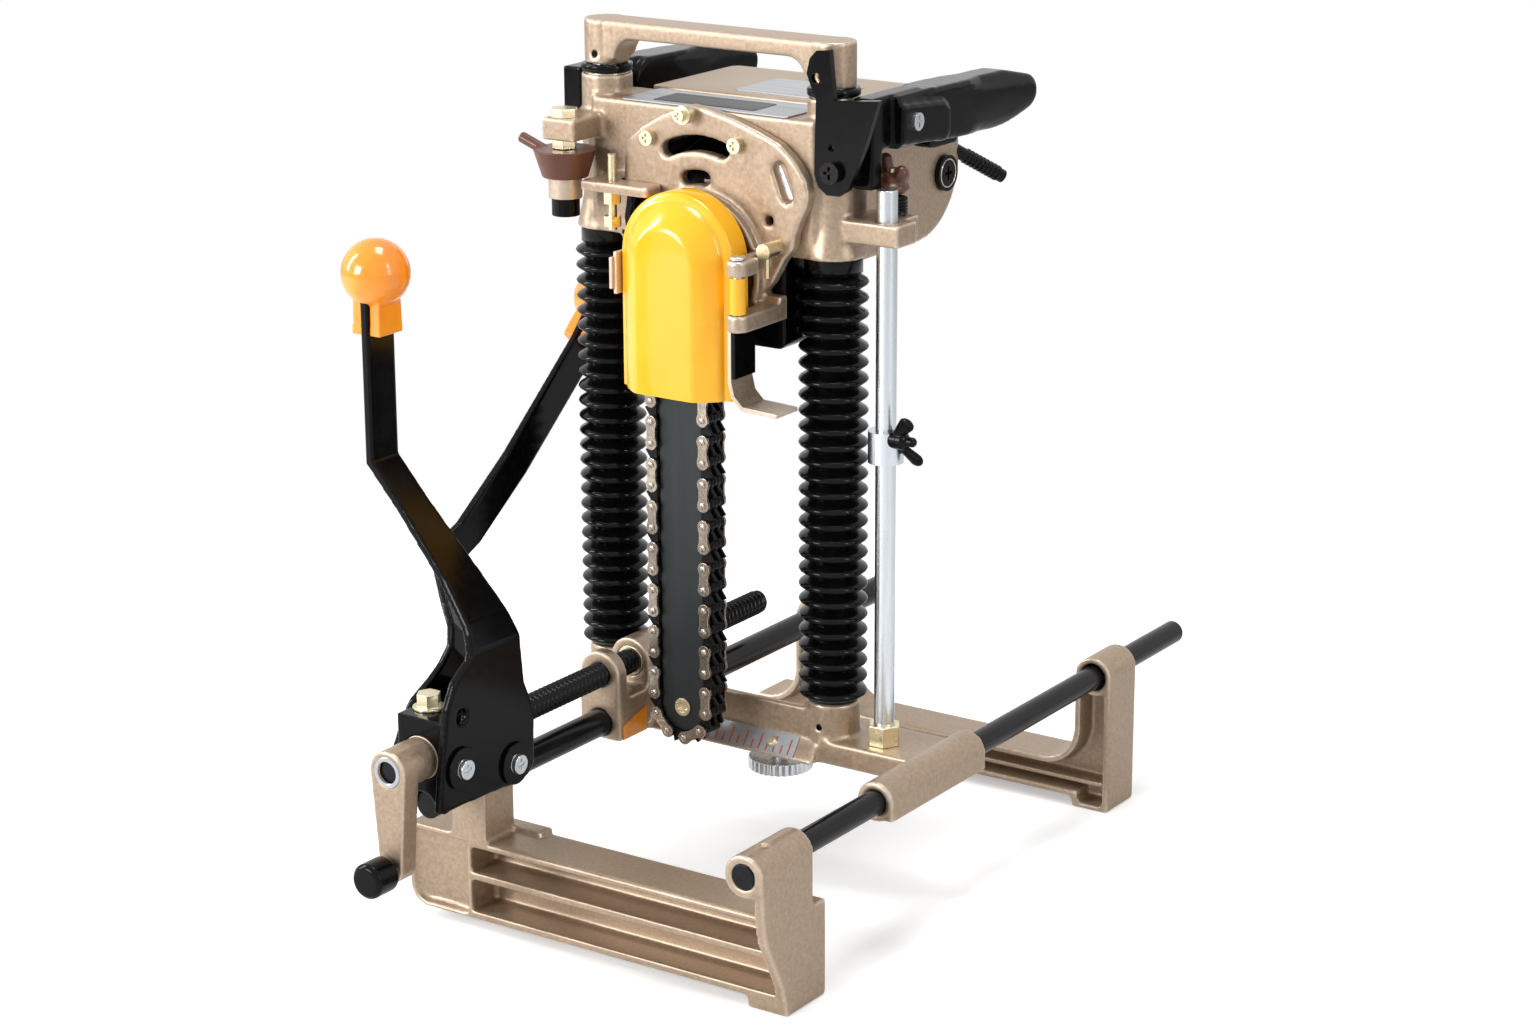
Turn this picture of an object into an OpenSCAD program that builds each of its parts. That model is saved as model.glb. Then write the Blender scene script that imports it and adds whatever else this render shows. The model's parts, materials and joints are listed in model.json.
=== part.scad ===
// Chain mortiser: a plunge head on two bellows columns, over a carriage that a
// crank screw feeds along two guide rods, between a fixed and a sliding jaw.
// +X is the right hand of the operator, +Y points away, +Z is up, in millimetres.
// The origin is on the ground, under the middle of the overall length and width.

/* [Clamp frame] */
// Length of the front jaw from end to end
jaw_len = 256; // [250:1:270]
// Depth of the front jaw from front rim to clamping pads
jaw_depth = 37; // [35:1:42]
// Height of the front jaw's top flange above the ground
jaw_h = 53; // [50:1:55]
// Thickness of the cast walls and ribs
wall = 5; // [4:0.5:6]
// Height of both guide rods above the ground
rod_z = 85; // [83:1:92]
// Distance from the jaws' right end to the right guide rod
rod_inset = 12; // [11.5:0.5:14]
// Distance between the two guide rods
rod_gap = 201; // [199:0.5:202]
// Diameter of the right guide rod
right_rod_d = 14; // [12:0.5:15]
// Length of the right guide rod
right_rod_len = 476; // [470:2:520]
// Diameter of the left guide rod
left_rod_d = 16; // [14:0.5:17]
// Length of the left guide rod
left_rod_len = 462; // [455:1:480]
// Distance from the front jaw's rim to the rear jaw's front rim
rear_jaw_gap = 348; // [340:1:356]
// Depth of the rear jaw from front to back
rear_jaw_depth = 34; // [30:1:38]
// Height of the rear jaw's bar between its two posts
rear_bar_h = 28; // [24:1:34]

/* [Clamp levers] */
// Width of the lever bracket from side plate to side plate
bracket_w = 31; // [30:0.5:33]
// Height of the lever bracket
bracket_h = 52.5; // [50:0.5:55]
// Thickness of the bracket sheet and of both lever plates
sheet = 4; // [3:0.5:4.5]
// Width of the lever straps
strap_w = 23; // [21:1:25]
// Diameter of the lever ball knobs
ball_d = 38; // [34:1:38]
// Height of the front lever's ball above its pivot
lever_a_rise = 257; // [240:1:262]
// Length of the rear lever from its pivot to its ball
lever_b_len = 296; // [285:2:298]
// Lean of the rear lever from upright, backwards
lever_b_lean = 44.4; // [43:0.2:45]

/* [Feed screw] */
// Diameter of the feed screw over its thread
screw_d = 12; // [10:0.5:12.5]
// Height of the feed screw above the guide rods
screw_rise = 29; // [28:0.5:31]
// Length of the feed screw
screw_len = 353; // [345:1:380]
// Radius of the crank from the screw to its knob
crank_len = 56; // [50:1:60]
// Diameter of the crank knob
crank_knob_d = 20; // [17:0.5:21]

/* [Carriage] */
// Distance between the two columns
column_gap = 153; // [152:0.5:155]
// Distance from the jaws' right end to the middle between the columns
column_inset = 162; // [161:0.5:163]
// Distance from the front jaw's rim to the plane of the columns
column_y_gap = 175; // [172:1:180]
// Diameter of the two columns
column_d = 20; // [18:0.5:20]
// Outer diameter of the bellows over their ribs
bellows_d = 39.4; // [36:0.2:39.4]
// Outer diameter of the bellows between their ribs
bellows_valley_d = 28.4; // [28:0.2:30]
// Ribs of each bellows
bellows_ribs = 27; // [20:1:30]
// Length of the carriage's sleeve on the right guide rod
sleeve_len = 100; // [90:1:110]
// Width of the right sleeve's barrel
sleeve_d = 23; // [22:0.5:24]
// Thickness of the carriage plate
plate_t = 14; // [13:0.5:16]
// Diameter of the depth stop rod
stop_rod_d = 11.6; // [10:0.2:12]
// Height of the stop rod above the carriage plate
stop_rod_h = 319; // [316:1:330]
// Height of the stop collar's middle above the carriage plate
collar_h = 175; // [150:1:185]

/* [Head] */
// Height of the bottom of the head sleeves above the guide rods
head_rise = 282; // [278:1:286]
// Length of the head sleeves
head_sleeve_len = 89; // [86:1:92]
// Diameter of the head sleeves
head_sleeve_d = 29; // [28:0.5:30]
// Depth of the head casting from front to back
head_depth = 40; // [36:1:42]
// Radius of the gear cover plate
cover_plate_r = 70; // [66:1:71]
// Depth of the motor housing behind the head casting
motor_depth = 122; // [115:1:126]
// Width of the motor housing
motor_w = 132; // [120:1:134]
// Diameter of the motor housing's stator
stator_d = 76; // [66:1:78]
// Height of the carry handle's bar above its posts' feet
handle_h = 25.5; // [24.5:0.5:32]
// Length of the side grips
grip_len = 142; // [136:1:148]

/* [Chain] */
// Width of the guide bar
bar_w = 28; // [26:0.5:28]
// Thickness of the guide bar
bar_t = 10; // [8:0.5:12]
// Thickness of the chain across its plates
chain_t = 18; // [16:0.5:20]
// Width of the chain band outside the bar's edge
chain_band = 6.6; // [6:0.1:7]
// Links of the chain
chain_links = 50; // [46:2:52]
// Height of the guide bar's nose above the guide rods
nose_rise = 19; // [18:0.5:24]
// Width of the yellow chain cover
cover_w = 75; // [72:1:76]
// Height of the yellow chain cover from its lower edge to its dome
cover_h = 113; // [108:1:115]
// Thickness of the chain cover's shell
cover_t = 2.4; // [2:0.2:3]

/* [Hidden] */
run = 0.06;
gap = 0.3;
$fn = 64;

bronze = "#AA8F76";
gloss_black = "#131316";
plate_grey = "#3A3A3C";
zinc = "#C5CDD6";
brass = "#C9A95C";
copper = "#6E4030";
orange = "#FF9E1B";
yellow = "#FFC400";
steel = "#8A7F78";

// Places along X
ball_overhang = 42;
jaw_right = (jaw_len + ball_overhang) / 2;
jaw_left = jaw_right - jaw_len;
right_rod_x = jaw_right - rod_inset;
left_rod_x = right_rod_x - rod_gap;
mid_x = jaw_right - column_inset;
left_x = mid_x - column_gap / 2;
right_x = mid_x + column_gap / 2;
bar_x = mid_x + 5;
stop_x = right_x + 34.5;

// Places along Y
boss_out = 24;
crank_out = 88;
front_y = -(right_rod_len - boss_out - crank_out) / 2;
rod_front_y = front_y - boss_out;
rear_y = front_y + rear_jaw_gap;
column_y = front_y + column_y_gap;
cover_y = column_y - 25;
chain_y = column_y - 42;

// Heights
screw_z = rod_z + screw_rise;
base_z = rod_z - 10;
plate_z = base_z + plate_t;
socket_z = plate_z + 21;
left_socket_z = screw_z + 2;
head_z = rod_z + head_rise;
head_top_z = head_z + head_sleeve_len;
ring_t = 5;
post_z = head_top_z + ring_t;
handle_z = post_z + handle_h;
column_foot_z = base_z + 3;
column_top_z = post_z + handle_h - 6;
nose_z = rod_z + nose_rise;
spindle_z = head_z - 10;
motor_z = head_z + 34;

// A block between two corners
module block(x0, x1, y0, y1, z0, z1) {
    translate([x0, y0, z0]) cube([x1 - x0, y1 - y0, z1 - z0]);
}
// A round bar along X, Y or Z between two ends
module bar_along_x(d, x0, x1, y, z) {
    translate([x0, y, z]) rotate([0, 90, 0]) cylinder(d = d, h = x1 - x0);
}
module bar_along_y(d, y0, y1, x, z) {
    translate([x, y0, z]) rotate([-90, 0, 0]) cylinder(d = d, h = y1 - y0);
}
module bar_along_z(d, z0, z1, x, y) {
    translate([x, y, z0]) cylinder(d = d, h = z1 - z0);
}
// An outline in Y and Z, drawn out along X
module outline_along_x(x0, x1) {
    translate([x0, 0, 0]) rotate([90, 0, 90]) linear_extrude(x1 - x0) children();
}
// An outline in X and Z, drawn out along Y
module outline_along_y(y0, y1) {
    translate([0, y1, 0]) rotate([90, 0, 0]) linear_extrude(y1 - y0) children();
}
// The corners of the band that joins two circles by their outer tangents
function tangents(p, rp, q, rq) =
    let (a = atan2(q[1] - p[1], q[0] - p[0]), b = acos((rp - rq) / norm(q - p)))
    [
        p + rp * [cos(a + b), sin(a + b)], q + rq * [cos(a + b), sin(a + b)],
        q + rq * [cos(a - b), sin(a - b)], p + rp * [cos(a - b), sin(a - b)]
    ];
// Round ends of their own radii, joined one after the other by their tangents
module band(places, radii, h) {
    for (i = [0 : len(places) - 1]) translate(places[i]) cylinder(r = radii[i], h = h);
    for (i = [1 : len(places) - 1])
        linear_extrude(h) polygon(tangents(places[i - 1], radii[i - 1], places[i], radii[i]));
}
module band_along_x(x0, x1, places, radii) {
    translate([x0, 0, 0]) rotate([90, 0, 90]) band(places, radii, x1 - x0);
}
module band_along_y(y0, y1, places, radii) {
    translate([0, y1, 0]) rotate([90, 0, 0]) band(places, radii, y1 - y0);
}
// The sideways direction at point i of a line, longer at a bend, so that a sheet keeps its thickness
function sideways(p, i) =
    let (
        last = len(p) - 1,
        a = i == 0 ? p[1] - p[0] : p[i] - p[i - 1],
        b = i == last ? p[last] - p[last - 1] : p[i + 1] - p[i],
        u = [-a[1], a[0]] / norm(a),
        v = [-b[1], b[0]] / norm(b)
    )
    (u + v) / (1 + u * v);
// A bent sheet of one thickness along a line in X and Z
module sheet_along_y(y0, y1, places, t) {
    last = len(places) - 1;
    outline_along_y(y0, y1) polygon([
        for (i = [0 : last]) places[i] + t / 2 * sideways(places, i),
        for (i = [last : -1 : 0]) places[i] - t / 2 * sideways(places, i)
    ]);
}
// A hexagon head or nut along Z
module hexagon(af, z0, z1, x, y) {
    translate([x, y, z0]) cylinder(d = af / cos(30), h = z1 - z0, $fn = 6);
}

// Front jaw
pad_h = 2;
foot = 6;
boss_d = 2 * rod_inset;
module front_jaw_side() {
    polygon([
        [front_y, 0], [front_y + jaw_depth, 0], [front_y + jaw_depth, jaw_h + pad_h],
        [front_y + 25, jaw_h + pad_h], [front_y + 25, rod_z], [rod_front_y, rod_z],
        [front_y - 22, rod_z - 24], [front_y - 20, rod_z - 37], [front_y - 13, rod_z - 51],
        [front_y - 5, foot + 12]
    ]);
}
// The jaw's left end: a block with a round lower corner and a shallow trough in its face
end_w = 44;
end_r = 12;
trough_r = 70;
trough_depth = 5.5;
module jaw_end_outline(inset) {
    z1 = foot + end_r;
    hull() {
        translate([jaw_left + end_r, z1]) circle(end_r - inset);
        translate([jaw_left + inset, z1]) square([end_w - 2 * inset, jaw_h + pad_h - z1 - inset]);
        translate([jaw_left + end_r, foot + inset]) square([end_w - end_r - inset, 1]);
    }
}
module front_jaw() {
    web_y = front_y + 21.5;
    box_r = jaw_left + end_w;
    heel_y = front_y + jaw_depth - 17;
    up = left_rod_d / 2 + 4;
    up_y = front_y + 26;
    color(bronze) difference() {
        union() {
            block(box_r - 2, jaw_right - 2, web_y, web_y + wall, foot, jaw_h);
            for (z = [foot, (foot + jaw_h) / 2, jaw_h - 4.5])
                block(box_r - 2, jaw_right - 2, front_y, web_y + 2, z, z + 4.5);
            block(box_r - 2, jaw_right - 2, web_y, front_y + jaw_depth - 3, jaw_h - 4.5, jaw_h);
            block(box_r - 2, jaw_right - 2, web_y, front_y + jaw_depth - 3, foot, foot + 4.5);
            outline_along_x(jaw_right - 6, jaw_right) front_jaw_side();
            bar_along_y(boss_d, rod_front_y, front_y + 25, right_rod_x, rod_z);
            block(jaw_right - 16, jaw_right, front_y + 25, front_y + jaw_depth, 0, jaw_h + pad_h);
            block(jaw_right - 26, jaw_right, front_y, front_y + jaw_depth, 0, foot + 3);
            block(right_rod_x - 4, jaw_right, front_y + 8, front_y + 25, jaw_h - 3, rod_z - 8);
            outline_along_y(front_y, heel_y + 1) jaw_end_outline(0);
            block(jaw_left + 4, box_r, heel_y, front_y + jaw_depth, 0, jaw_h + pad_h);
            block(box_r - 4, box_r + 30, front_y + 25, front_y + jaw_depth, jaw_h - 6, jaw_h + pad_h);
            block(left_rod_x - up, left_rod_x + up, front_y, up_y, jaw_h - 4, rod_z);
            bar_along_y(2 * up, front_y, up_y, left_rod_x, rod_z);
        }
        bar_along_y(right_rod_d, rod_front_y - 1, front_y + 26, right_rod_x, rod_z);
        bar_along_y(left_rod_d, front_y - 1, front_y + jaw_depth + 1, left_rod_x, rod_z);
        intersection() {
            outline_along_y(front_y - 1, front_y + trough_depth + 1) jaw_end_outline(3);
            bar_along_z(2 * trough_r, foot, jaw_h + pad_h, jaw_left + end_w / 2 + 4,
                front_y + trough_depth - trough_r);
        }
        block(jaw_left + end_r, box_r - wall, front_y + 9, front_y + jaw_depth - 6, -1, jaw_h - 4);
        bar_along_z(4, rod_z, rod_z + 20, right_rod_x, front_y - 4);
        bar_along_x(pin_d, left_rod_x - up - 1, left_rod_x + up + 1, pivot_b[0], pivot_b[1]);
    }
}
module right_guide_rod() {
    color(gloss_black)
        bar_along_y(right_rod_d, rod_front_y, rod_front_y + right_rod_len, right_rod_x, rod_z);
}
left_rod_y = front_y - 34;
module left_guide_rod() {
    color(gloss_black) bar_along_y(left_rod_d, left_rod_y, left_rod_y + left_rod_len, left_rod_x, rod_z);
}

// Lever bracket, a folded box open below and at the back
bracket_z = rod_z - 1;
bracket_top = bracket_z + bracket_h;
bracket_y0 = front_y - 39;
bracket_y1 = front_y + 32;
side_r = left_rod_x + bracket_w / 2;
side_l = left_rod_x - bracket_w / 2;
pivot_a = [front_y - 29, rod_z + 24];
pivot_b = [front_y + 17, rod_z + 12.5];
pin_d = 8;
side_t = 3;
bush_y1 = bracket_y0 + sheet;
bush_d = 24.6;
bolt_x = left_rod_x - 6;
bolt_y = front_y - 23;
module lever_bracket() {
    color(gloss_black) difference() {
        union() {
            block(side_l, side_r, bracket_y0, bracket_y0 + sheet, bracket_z, bracket_top);
            block(side_l, side_r, bracket_y0, bracket_y1 - 8, bracket_top - sheet, bracket_top);
            for (x = [side_l, side_r - side_t])
                outline_along_x(x, x + side_t) polygon([
                    [bracket_y0, bracket_z], [front_y - 1, bracket_z + 1], [bracket_y1, bracket_z + 6],
                    [bracket_y1, bracket_top - 12], [bracket_y1 - 8, bracket_top], [bracket_y0, bracket_top]
                ]);
        }
        bar_along_y(bush_d, bracket_y0 - 1, bracket_y0 + sheet + 1, left_rod_x, screw_z);
        bar_along_y(left_rod_d + 2, bracket_y0 - 1, bracket_y0 + sheet + 1, left_rod_x, rod_z);
        bar_along_x(pin_d, side_r - side_t - 1, side_r + 1, pivot_a[0], pivot_a[1]);
        bar_along_x(pin_d, side_l - 1, side_r + 1, pivot_b[0], pivot_b[1]);
        bar_along_z(8, bracket_top - sheet - 1, bracket_top + 1, bolt_x, bolt_y);
    }
}
module frame_screws() {
    z = bracket_top;
    color(brass) {
        bar_along_z(4, rod_z + right_rod_d / 2, rod_z + boss_d / 2 - 1, right_rod_x, front_y - 4);
        bar_along_z(18, z, z + 1.6, bolt_x, bolt_y);
        hexagon(12, z + 1.6, z + 9, bolt_x, bolt_y);
        bar_along_z(8, z - 12, z + 2, bolt_x, bolt_y);
        hexagon(10, z - sheet - 6, z - sheet, bolt_x, bolt_y);
    }
}
// The bush in the bracket's front wall that carries the crank's barrel
module crank_bush() {
    color(bronze) difference() {
        bar_along_y(bush_d, bracket_y0, bush_y1, left_rod_x, screw_z);
        bar_along_y(screw_d + 2 * run, bracket_y0 - 1, bush_y1 + 1, left_rod_x, screw_z);
    }
}

// Clamp levers: a pivoted plate that turns into a strap, bent in X and Z
lever_gap = 0.4;
lever_a_swing = 6;
strap_off = 38;
ball_a = [jaw_left - 17, pivot_a[0] + strap_off, pivot_a[1] + lever_a_rise];
bend_w = sheet + 0.5;
module front_lever() {
    x = side_r + lever_gap + bend_w / 2;
    half = strap_w / 2;
    color(gloss_black) difference() {
        intersection() {
            sheet_along_y(bracket_y0 - 20, bracket_y1 + 20, [
                [x, pivot_a[1] - 30], [x, pivot_a[1] + 61], [x - 8, pivot_a[1] + 74],
                [ball_a[0], pivot_a[1] + 153], [ball_a[0], ball_a[2] - 14]
            ], bend_w);
            outline_along_x(ball_a[0] - 10, x + 10) translate(pivot_a) polygon([
                [-19, -21], [-15, 7], [-10, 36], [-3, 49], [10, 58], [17, 70], [strap_off - half - 3, 95],
                [strap_off - half, 130], [strap_off - half, lever_a_rise], [strap_off + half, lever_a_rise],
                [strap_off + half, 130], [strap_off + half + 3, 90], [strap_off + half + 5, 57], [57, 33],
                [61, 24], [65, 10], [64, -17], [59, -22], [50, -25], [34, -23]
            ]);
        }
        bar_along_x(pin_d + 2 * run, side_r, side_r + 12, pivot_a[0], pivot_a[1]);
        for (a = [-lever_a_swing, 0, lever_a_swing])
            translate([0, pivot_a[0], pivot_a[1]]) rotate([a, 0, 0])
            bar_along_x(pin_d + 2, side_r, side_r + 12, pivot_b[0] - pivot_a[0], pivot_b[1] - pivot_a[1]);
        bar_along_x(9, side_r, side_r + 12, pivot_a[0] + 2, pivot_a[1] + 29);
    }
}
module ball_knob(at, lean) {
    translate(at) rotate([lean, 0, 0]) difference() {
        union() {
            sphere(d = ball_d);
            rotate([0, 0, 45]) translate([0, 0, -33]) cylinder(d1 = 28, d2 = 26, h = 20, $fn = 4);
        }
        translate([-bend_w / 2 - 0.1, -strap_w / 2 - 0.1, -34]) cube([bend_w + 0.2, strap_w + 0.2, 23]);
    }
}
module front_lever_knob() {
    color(orange) ball_knob(ball_a, 0);
}
washer_d = 24;
// A washer and a round head on the right side of the bracket
module pivot_end(p, x) {
    bar_along_x(washer_d, x, x + 1.6, p[0], p[1]);
    bar_along_x(11, x + 1.6, x + 4.6, p[0], p[1]);
}
lever_out_x = side_r + 2 * lever_gap + bend_w;
module lever_pivots() {
    nut = 3.4;
    x_in = side_r - side_t;
    color(zinc) {
        bar_along_x(pin_d, x_in - nut, lever_out_x + 1, pivot_a[0], pivot_a[1]);
        bar_along_x(12, x_in - nut, x_in, pivot_a[0], pivot_a[1]);
        bar_along_x(pin_d, b_x - lever_gap - 5, lever_out_x + 1, pivot_b[0], pivot_b[1]);
        bar_along_x(15, b_x - lever_gap - 5, b_x - lever_gap, pivot_b[0], pivot_b[1]);
        pivot_end(pivot_a, lever_out_x);
        pivot_end(pivot_b, lever_out_x);
    }
}
ball_b = [left_x - bellows_d / 2 - 20.8, 0, 0];
b_x = side_l - 2 * lever_gap - bend_w;
module rear_lever_shape() {
    x = b_x + bend_w / 2;
    half = strap_w / 2;
    intersection() {
        sheet_along_y(-80, 30, [
            [x, -40], [x, 40], [x - 4, 52], [ball_b[0] + 5, 96], [ball_b[0], 108],
            [ball_b[0], lever_b_len - 14]
        ], bend_w);
        outline_along_x(ball_b[0] - 10, x + 10) polygon([
            [-45, -33], [-52, -24], [-56, -8], [-56.5, 2], [-54, 10], [-51, 18], [-48.5, 28], [-48, 42],
            [-51, 52], [-52, 62], [-50.5, 80], [-46, 92], [-38, 105], [-30.5, 122],
            [-half - 9, 175], [-half, lever_b_len - 36], [-half, lever_b_len], [half, lever_b_len],
            [half, lever_b_len - 36], [half - 9, 175],
            [strap_w - 30.5, 122], [strap_w - 38, 104], [-22, 93], [-27.5, 82], [-29, 70], [-28, 56],
            [-24, 46], [-14, 35], [2, 25], [12, 15], [17, 2], [15, -10], [6, -16], [-6, -19], [-24, -32],
            [-34, -36]
        ]);
    }
}
module rear_lever() {
    color(gloss_black) difference() {
        translate([0, pivot_b[0], pivot_b[1]]) rotate([-lever_b_lean, 0, 0]) rear_lever_shape();
        bar_along_x(pin_d + 2 * run, b_x - 5, side_l + 1, pivot_b[0], pivot_b[1]);
    }
}
module rear_lever_knob() {
    at = [
        ball_b[0], pivot_b[0] + lever_b_len * sin(lever_b_lean),
        pivot_b[1] + lever_b_len * cos(lever_b_lean)
    ];
    color(orange) ball_knob(at, -lever_b_lean);
}

// Rear jaw: two posts round the rods, a low bar between them and a recessed web
rear_post_r = 12;
rear_fillet = 22;
left_post_r = 13.5;
module rear_jaw_outline(inset) {
    bar_top = rear_bar_h - inset;
    translate([jaw_left + inset, foot + inset]) square([jaw_len - 2 * inset, bar_top - foot - inset]);
    for (s = [[right_rod_x, rear_post_r], [left_rod_x, left_post_r]]) {
        r = s[1] - inset;
        translate([s[0], rod_z]) circle(r);
        translate([s[0] - r, foot + inset]) square([2 * r, rod_z - foot - inset]);
    }
    rear_fillet_corner(right_rod_x - rear_post_r + inset, bar_top, -1, inset);
    rear_fillet_corner(left_rod_x + left_post_r - inset, bar_top, 1, inset);
    rear_fillet_corner(left_rod_x - left_post_r + inset, bar_top, -1, inset);
}
module rear_fillet_corner(x, z, side, inset) {
    r = rear_fillet + inset;
    difference() {
        translate([side > 0 ? x - 1 : x - r + 1, z - 1]) square([r, r]);
        translate([x + side * r, z + r]) circle(r);
    }
}
module rear_jaw() {
    y1 = rear_y + rear_jaw_depth;
    web_y = rear_y + 15;
    color(bronze) difference() {
        union() {
            difference() {
                outline_along_y(rear_y, y1) rear_jaw_outline(0);
                outline_along_y(rear_y - 1, web_y) rear_jaw_outline(4);
                outline_along_y(web_y + 4, y1 + 1) rear_jaw_outline(4);
            }
            for (s = [[right_rod_x, rear_post_r], [left_rod_x, left_post_r]])
                bar_along_y(2 * s[1], rear_y, y1, s[0], rod_z);
            block(jaw_left + 3, jaw_right - 3, rear_y + 4, web_y + 1, foot + 8, foot + 11);
            block(jaw_right - 25, jaw_right, rear_y, y1, 0, foot + 4);
            block(jaw_left, jaw_left + 25, rear_y, y1, 0, foot + 4);
        }
        bar_along_y(right_rod_d + 2 * run, rear_y - 1, y1 + 1, right_rod_x, rod_z);
        bar_along_y(right_rod_d + 3, rear_y - 1, rear_y + 10, right_rod_x, rod_z);
        bar_along_y(left_rod_d + 2 * run, rear_y - 1, y1 + 1, left_rod_x, rod_z);
        block(jaw_right - 21, jaw_right - 4, rear_y - 1, web_y, 3, foot + 5);
    }
}

// Feed screw, crank arm and crank knob
crank_y0 = front_y - 67;
crank_y1 = bracket_y0 - gap;
screw_y0 = crank_y0 + 2;
arm_t = 13;
module feed_screw() {
    color(gloss_black) {
        bar_along_y(screw_d, screw_y0, screw_y0 + screw_len, left_rod_x, screw_z);
        bar_along_y(15, bush_y1 + gap, bush_y1 + gap + 5, left_rod_x, screw_z);
    }
}
crank_axis = [left_rod_x, screw_z - crank_len];
module crank_arm() {
    color(bronze) difference() {
        union() {
            bar_along_y(24, crank_y0, crank_y1, left_rod_x, screw_z);
            band_along_y(crank_y0, crank_y0 + arm_t, [[left_rod_x, screw_z], crank_axis], [12, 7.5]);
        }
        bar_along_y(screw_d, screw_y0, crank_y1 + 1, left_rod_x, screw_z);
        bar_along_y(16, crank_y0 - 1, screw_y0, left_rod_x, screw_z);
        bar_along_y(6, crank_y0 - 1, crank_y0 + arm_t + 1, crank_axis[0], crank_axis[1]);
    }
}
knob_y0 = front_y - crank_out;
module crank_knob() {
    y1 = crank_y0 - gap;
    color(gloss_black) {
        translate([crank_axis[0], knob_y0, crank_axis[1]]) rotate([-90, 0, 0]) rotate_extrude()
            polygon([
                [0, 0], [crank_knob_d / 2 - 2, 0], [crank_knob_d / 2, 2], [crank_knob_d / 2,
                y1 - knob_y0 - 5],
                [crank_knob_d / 2 - 3, y1 - knob_y0], [0, y1 - knob_y0]
            ]);
        bar_along_y(6 - 2 * run, y1 - 1, crank_y0 + arm_t - 1, crank_axis[0], crank_axis[1]);
    }
}

// Carriage base
sleeve_y0 = column_y - 72;
sleeve_y1 = sleeve_y0 + sleeve_len;
block_y0 = column_y - 52;
nut_len = 10;
nut_d = 18;
socket_d = 31;
boss_r = 14;
nut_y0 = block_y0 + 30;
nut_tail = 14;
lip_y = column_y - 23;
slope_y = column_y - 14.5;
module carriage_base() {
    color(bronze) difference() {
        union() {
            bar_along_y(sleeve_d, sleeve_y0, sleeve_y1, right_rod_x, rod_z);
            block(right_rod_x, right_rod_x + sleeve_d / 2, sleeve_y0, sleeve_y1, base_z, rod_z);
            block(right_rod_x - sleeve_d / 2, right_rod_x, sleeve_y0 + 12, sleeve_y1, base_z, rod_z);
            outline_along_x(left_rod_x, right_x) polygon([
                [lip_y, base_z], [lip_y, base_z + 2], [slope_y, plate_z - 1], [slope_y, plate_z + 17],
                [slope_y + wall, plate_z + 17], [slope_y + wall, plate_z], [sleeve_y1, plate_z],
                [sleeve_y1, base_z]
            ]);
            block(right_x - 1, right_rod_x, column_y - 16, sleeve_y1, base_z, plate_z);
            bar_along_z(socket_d, base_z, socket_z, right_x, column_y);
            bar_along_z(socket_d, base_z, left_socket_z, left_x, column_y);
            block(left_x - 10, left_rod_x, column_y - socket_d / 2, sleeve_y1, base_z, plate_z);
            block(left_rod_x - boss_r, left_rod_x + boss_r, block_y0, column_y + nut_tail, base_z, screw_z);
            bar_along_y(2 * boss_r, block_y0, column_y + nut_tail, left_rod_x, screw_z);
        }
        block(left_rod_x + boss_r + 6, right_x - socket_d / 2 - 2, slope_y + wall, sleeve_y1 - wall,
            base_z - 1, plate_z - 6);
        bar_along_y(right_rod_d + 2 * run, sleeve_y0 - 1, sleeve_y1 + 1, right_rod_x, rod_z);
        bar_along_y(left_rod_d + 2 * run, block_y0 - 1, sleeve_y1 + 1, left_rod_x, rod_z);
        hull() for (y = [block_y0 + 13, nut_y0 - 4]) for (z = [plate_z + 15, screw_z + 2 * boss_r])
            bar_along_x(8, left_rod_x - boss_r - 1, left_rod_x + boss_r + 1, y, z);
        bar_along_y(nut_d, nut_y0 - 1, nut_y0 + nut_len, left_rod_x, screw_z);
        bar_along_y(screw_d + 2, block_y0 - 1, column_y + 40, left_rod_x, screw_z);
        for (x = [left_x, right_x]) {
            bar_along_z(column_d, column_foot_z, screw_z + 20, x, column_y);
            bar_along_y(4, column_y - 17, column_y, x, base_z + 21);
        }
        bar_along_z(bellows_d + 1, left_socket_z, screw_z + 30, left_x, column_y);
        bar_along_z(8, base_z - 1, plate_z + 1, stop_x, column_y);
        bar_along_z(6, base_z - 1, plate_z + 1, bar_x + 30, column_y + 8);
        on_slope() translate([scale_screw_x, slope_len / 2, -9]) cylinder(d = 3, h = 12);
    }
}
module feed_nut() {
    color(brass) difference() {
        bar_along_y(nut_d, nut_y0, nut_y0 + nut_len, left_rod_x, screw_z);
        bar_along_y(screw_d + 2 * run, nut_y0 - 1, nut_y0 + nut_len + 1, left_rod_x, screw_z);
    }
}
post_r = head_sleeve_d / 2 - 2;
pin_hole_z = post_z + 6;
module columns() {
    color(zinc) for (x = [left_x, right_x]) difference() {
        bar_along_z(column_d, column_foot_z, column_top_z, x, column_y);
        bar_along_z(column_d - 6, column_foot_z - 1, column_top_z + 1, x, column_y);
        bar_along_y(4, column_y - 20, column_y - column_d / 2 + 2, x, base_z + 21);
        bar_along_y(4, column_y - 20, column_y - column_d / 2 + 2, x, pin_hole_z);
    }
}

// Return springs round the columns, inside the bellows
spring_wire = 1.6;
spring_d = column_d + 3.4;
spring_turns = 14;
spring_rings = 8;
spring_sides = 6;
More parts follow.
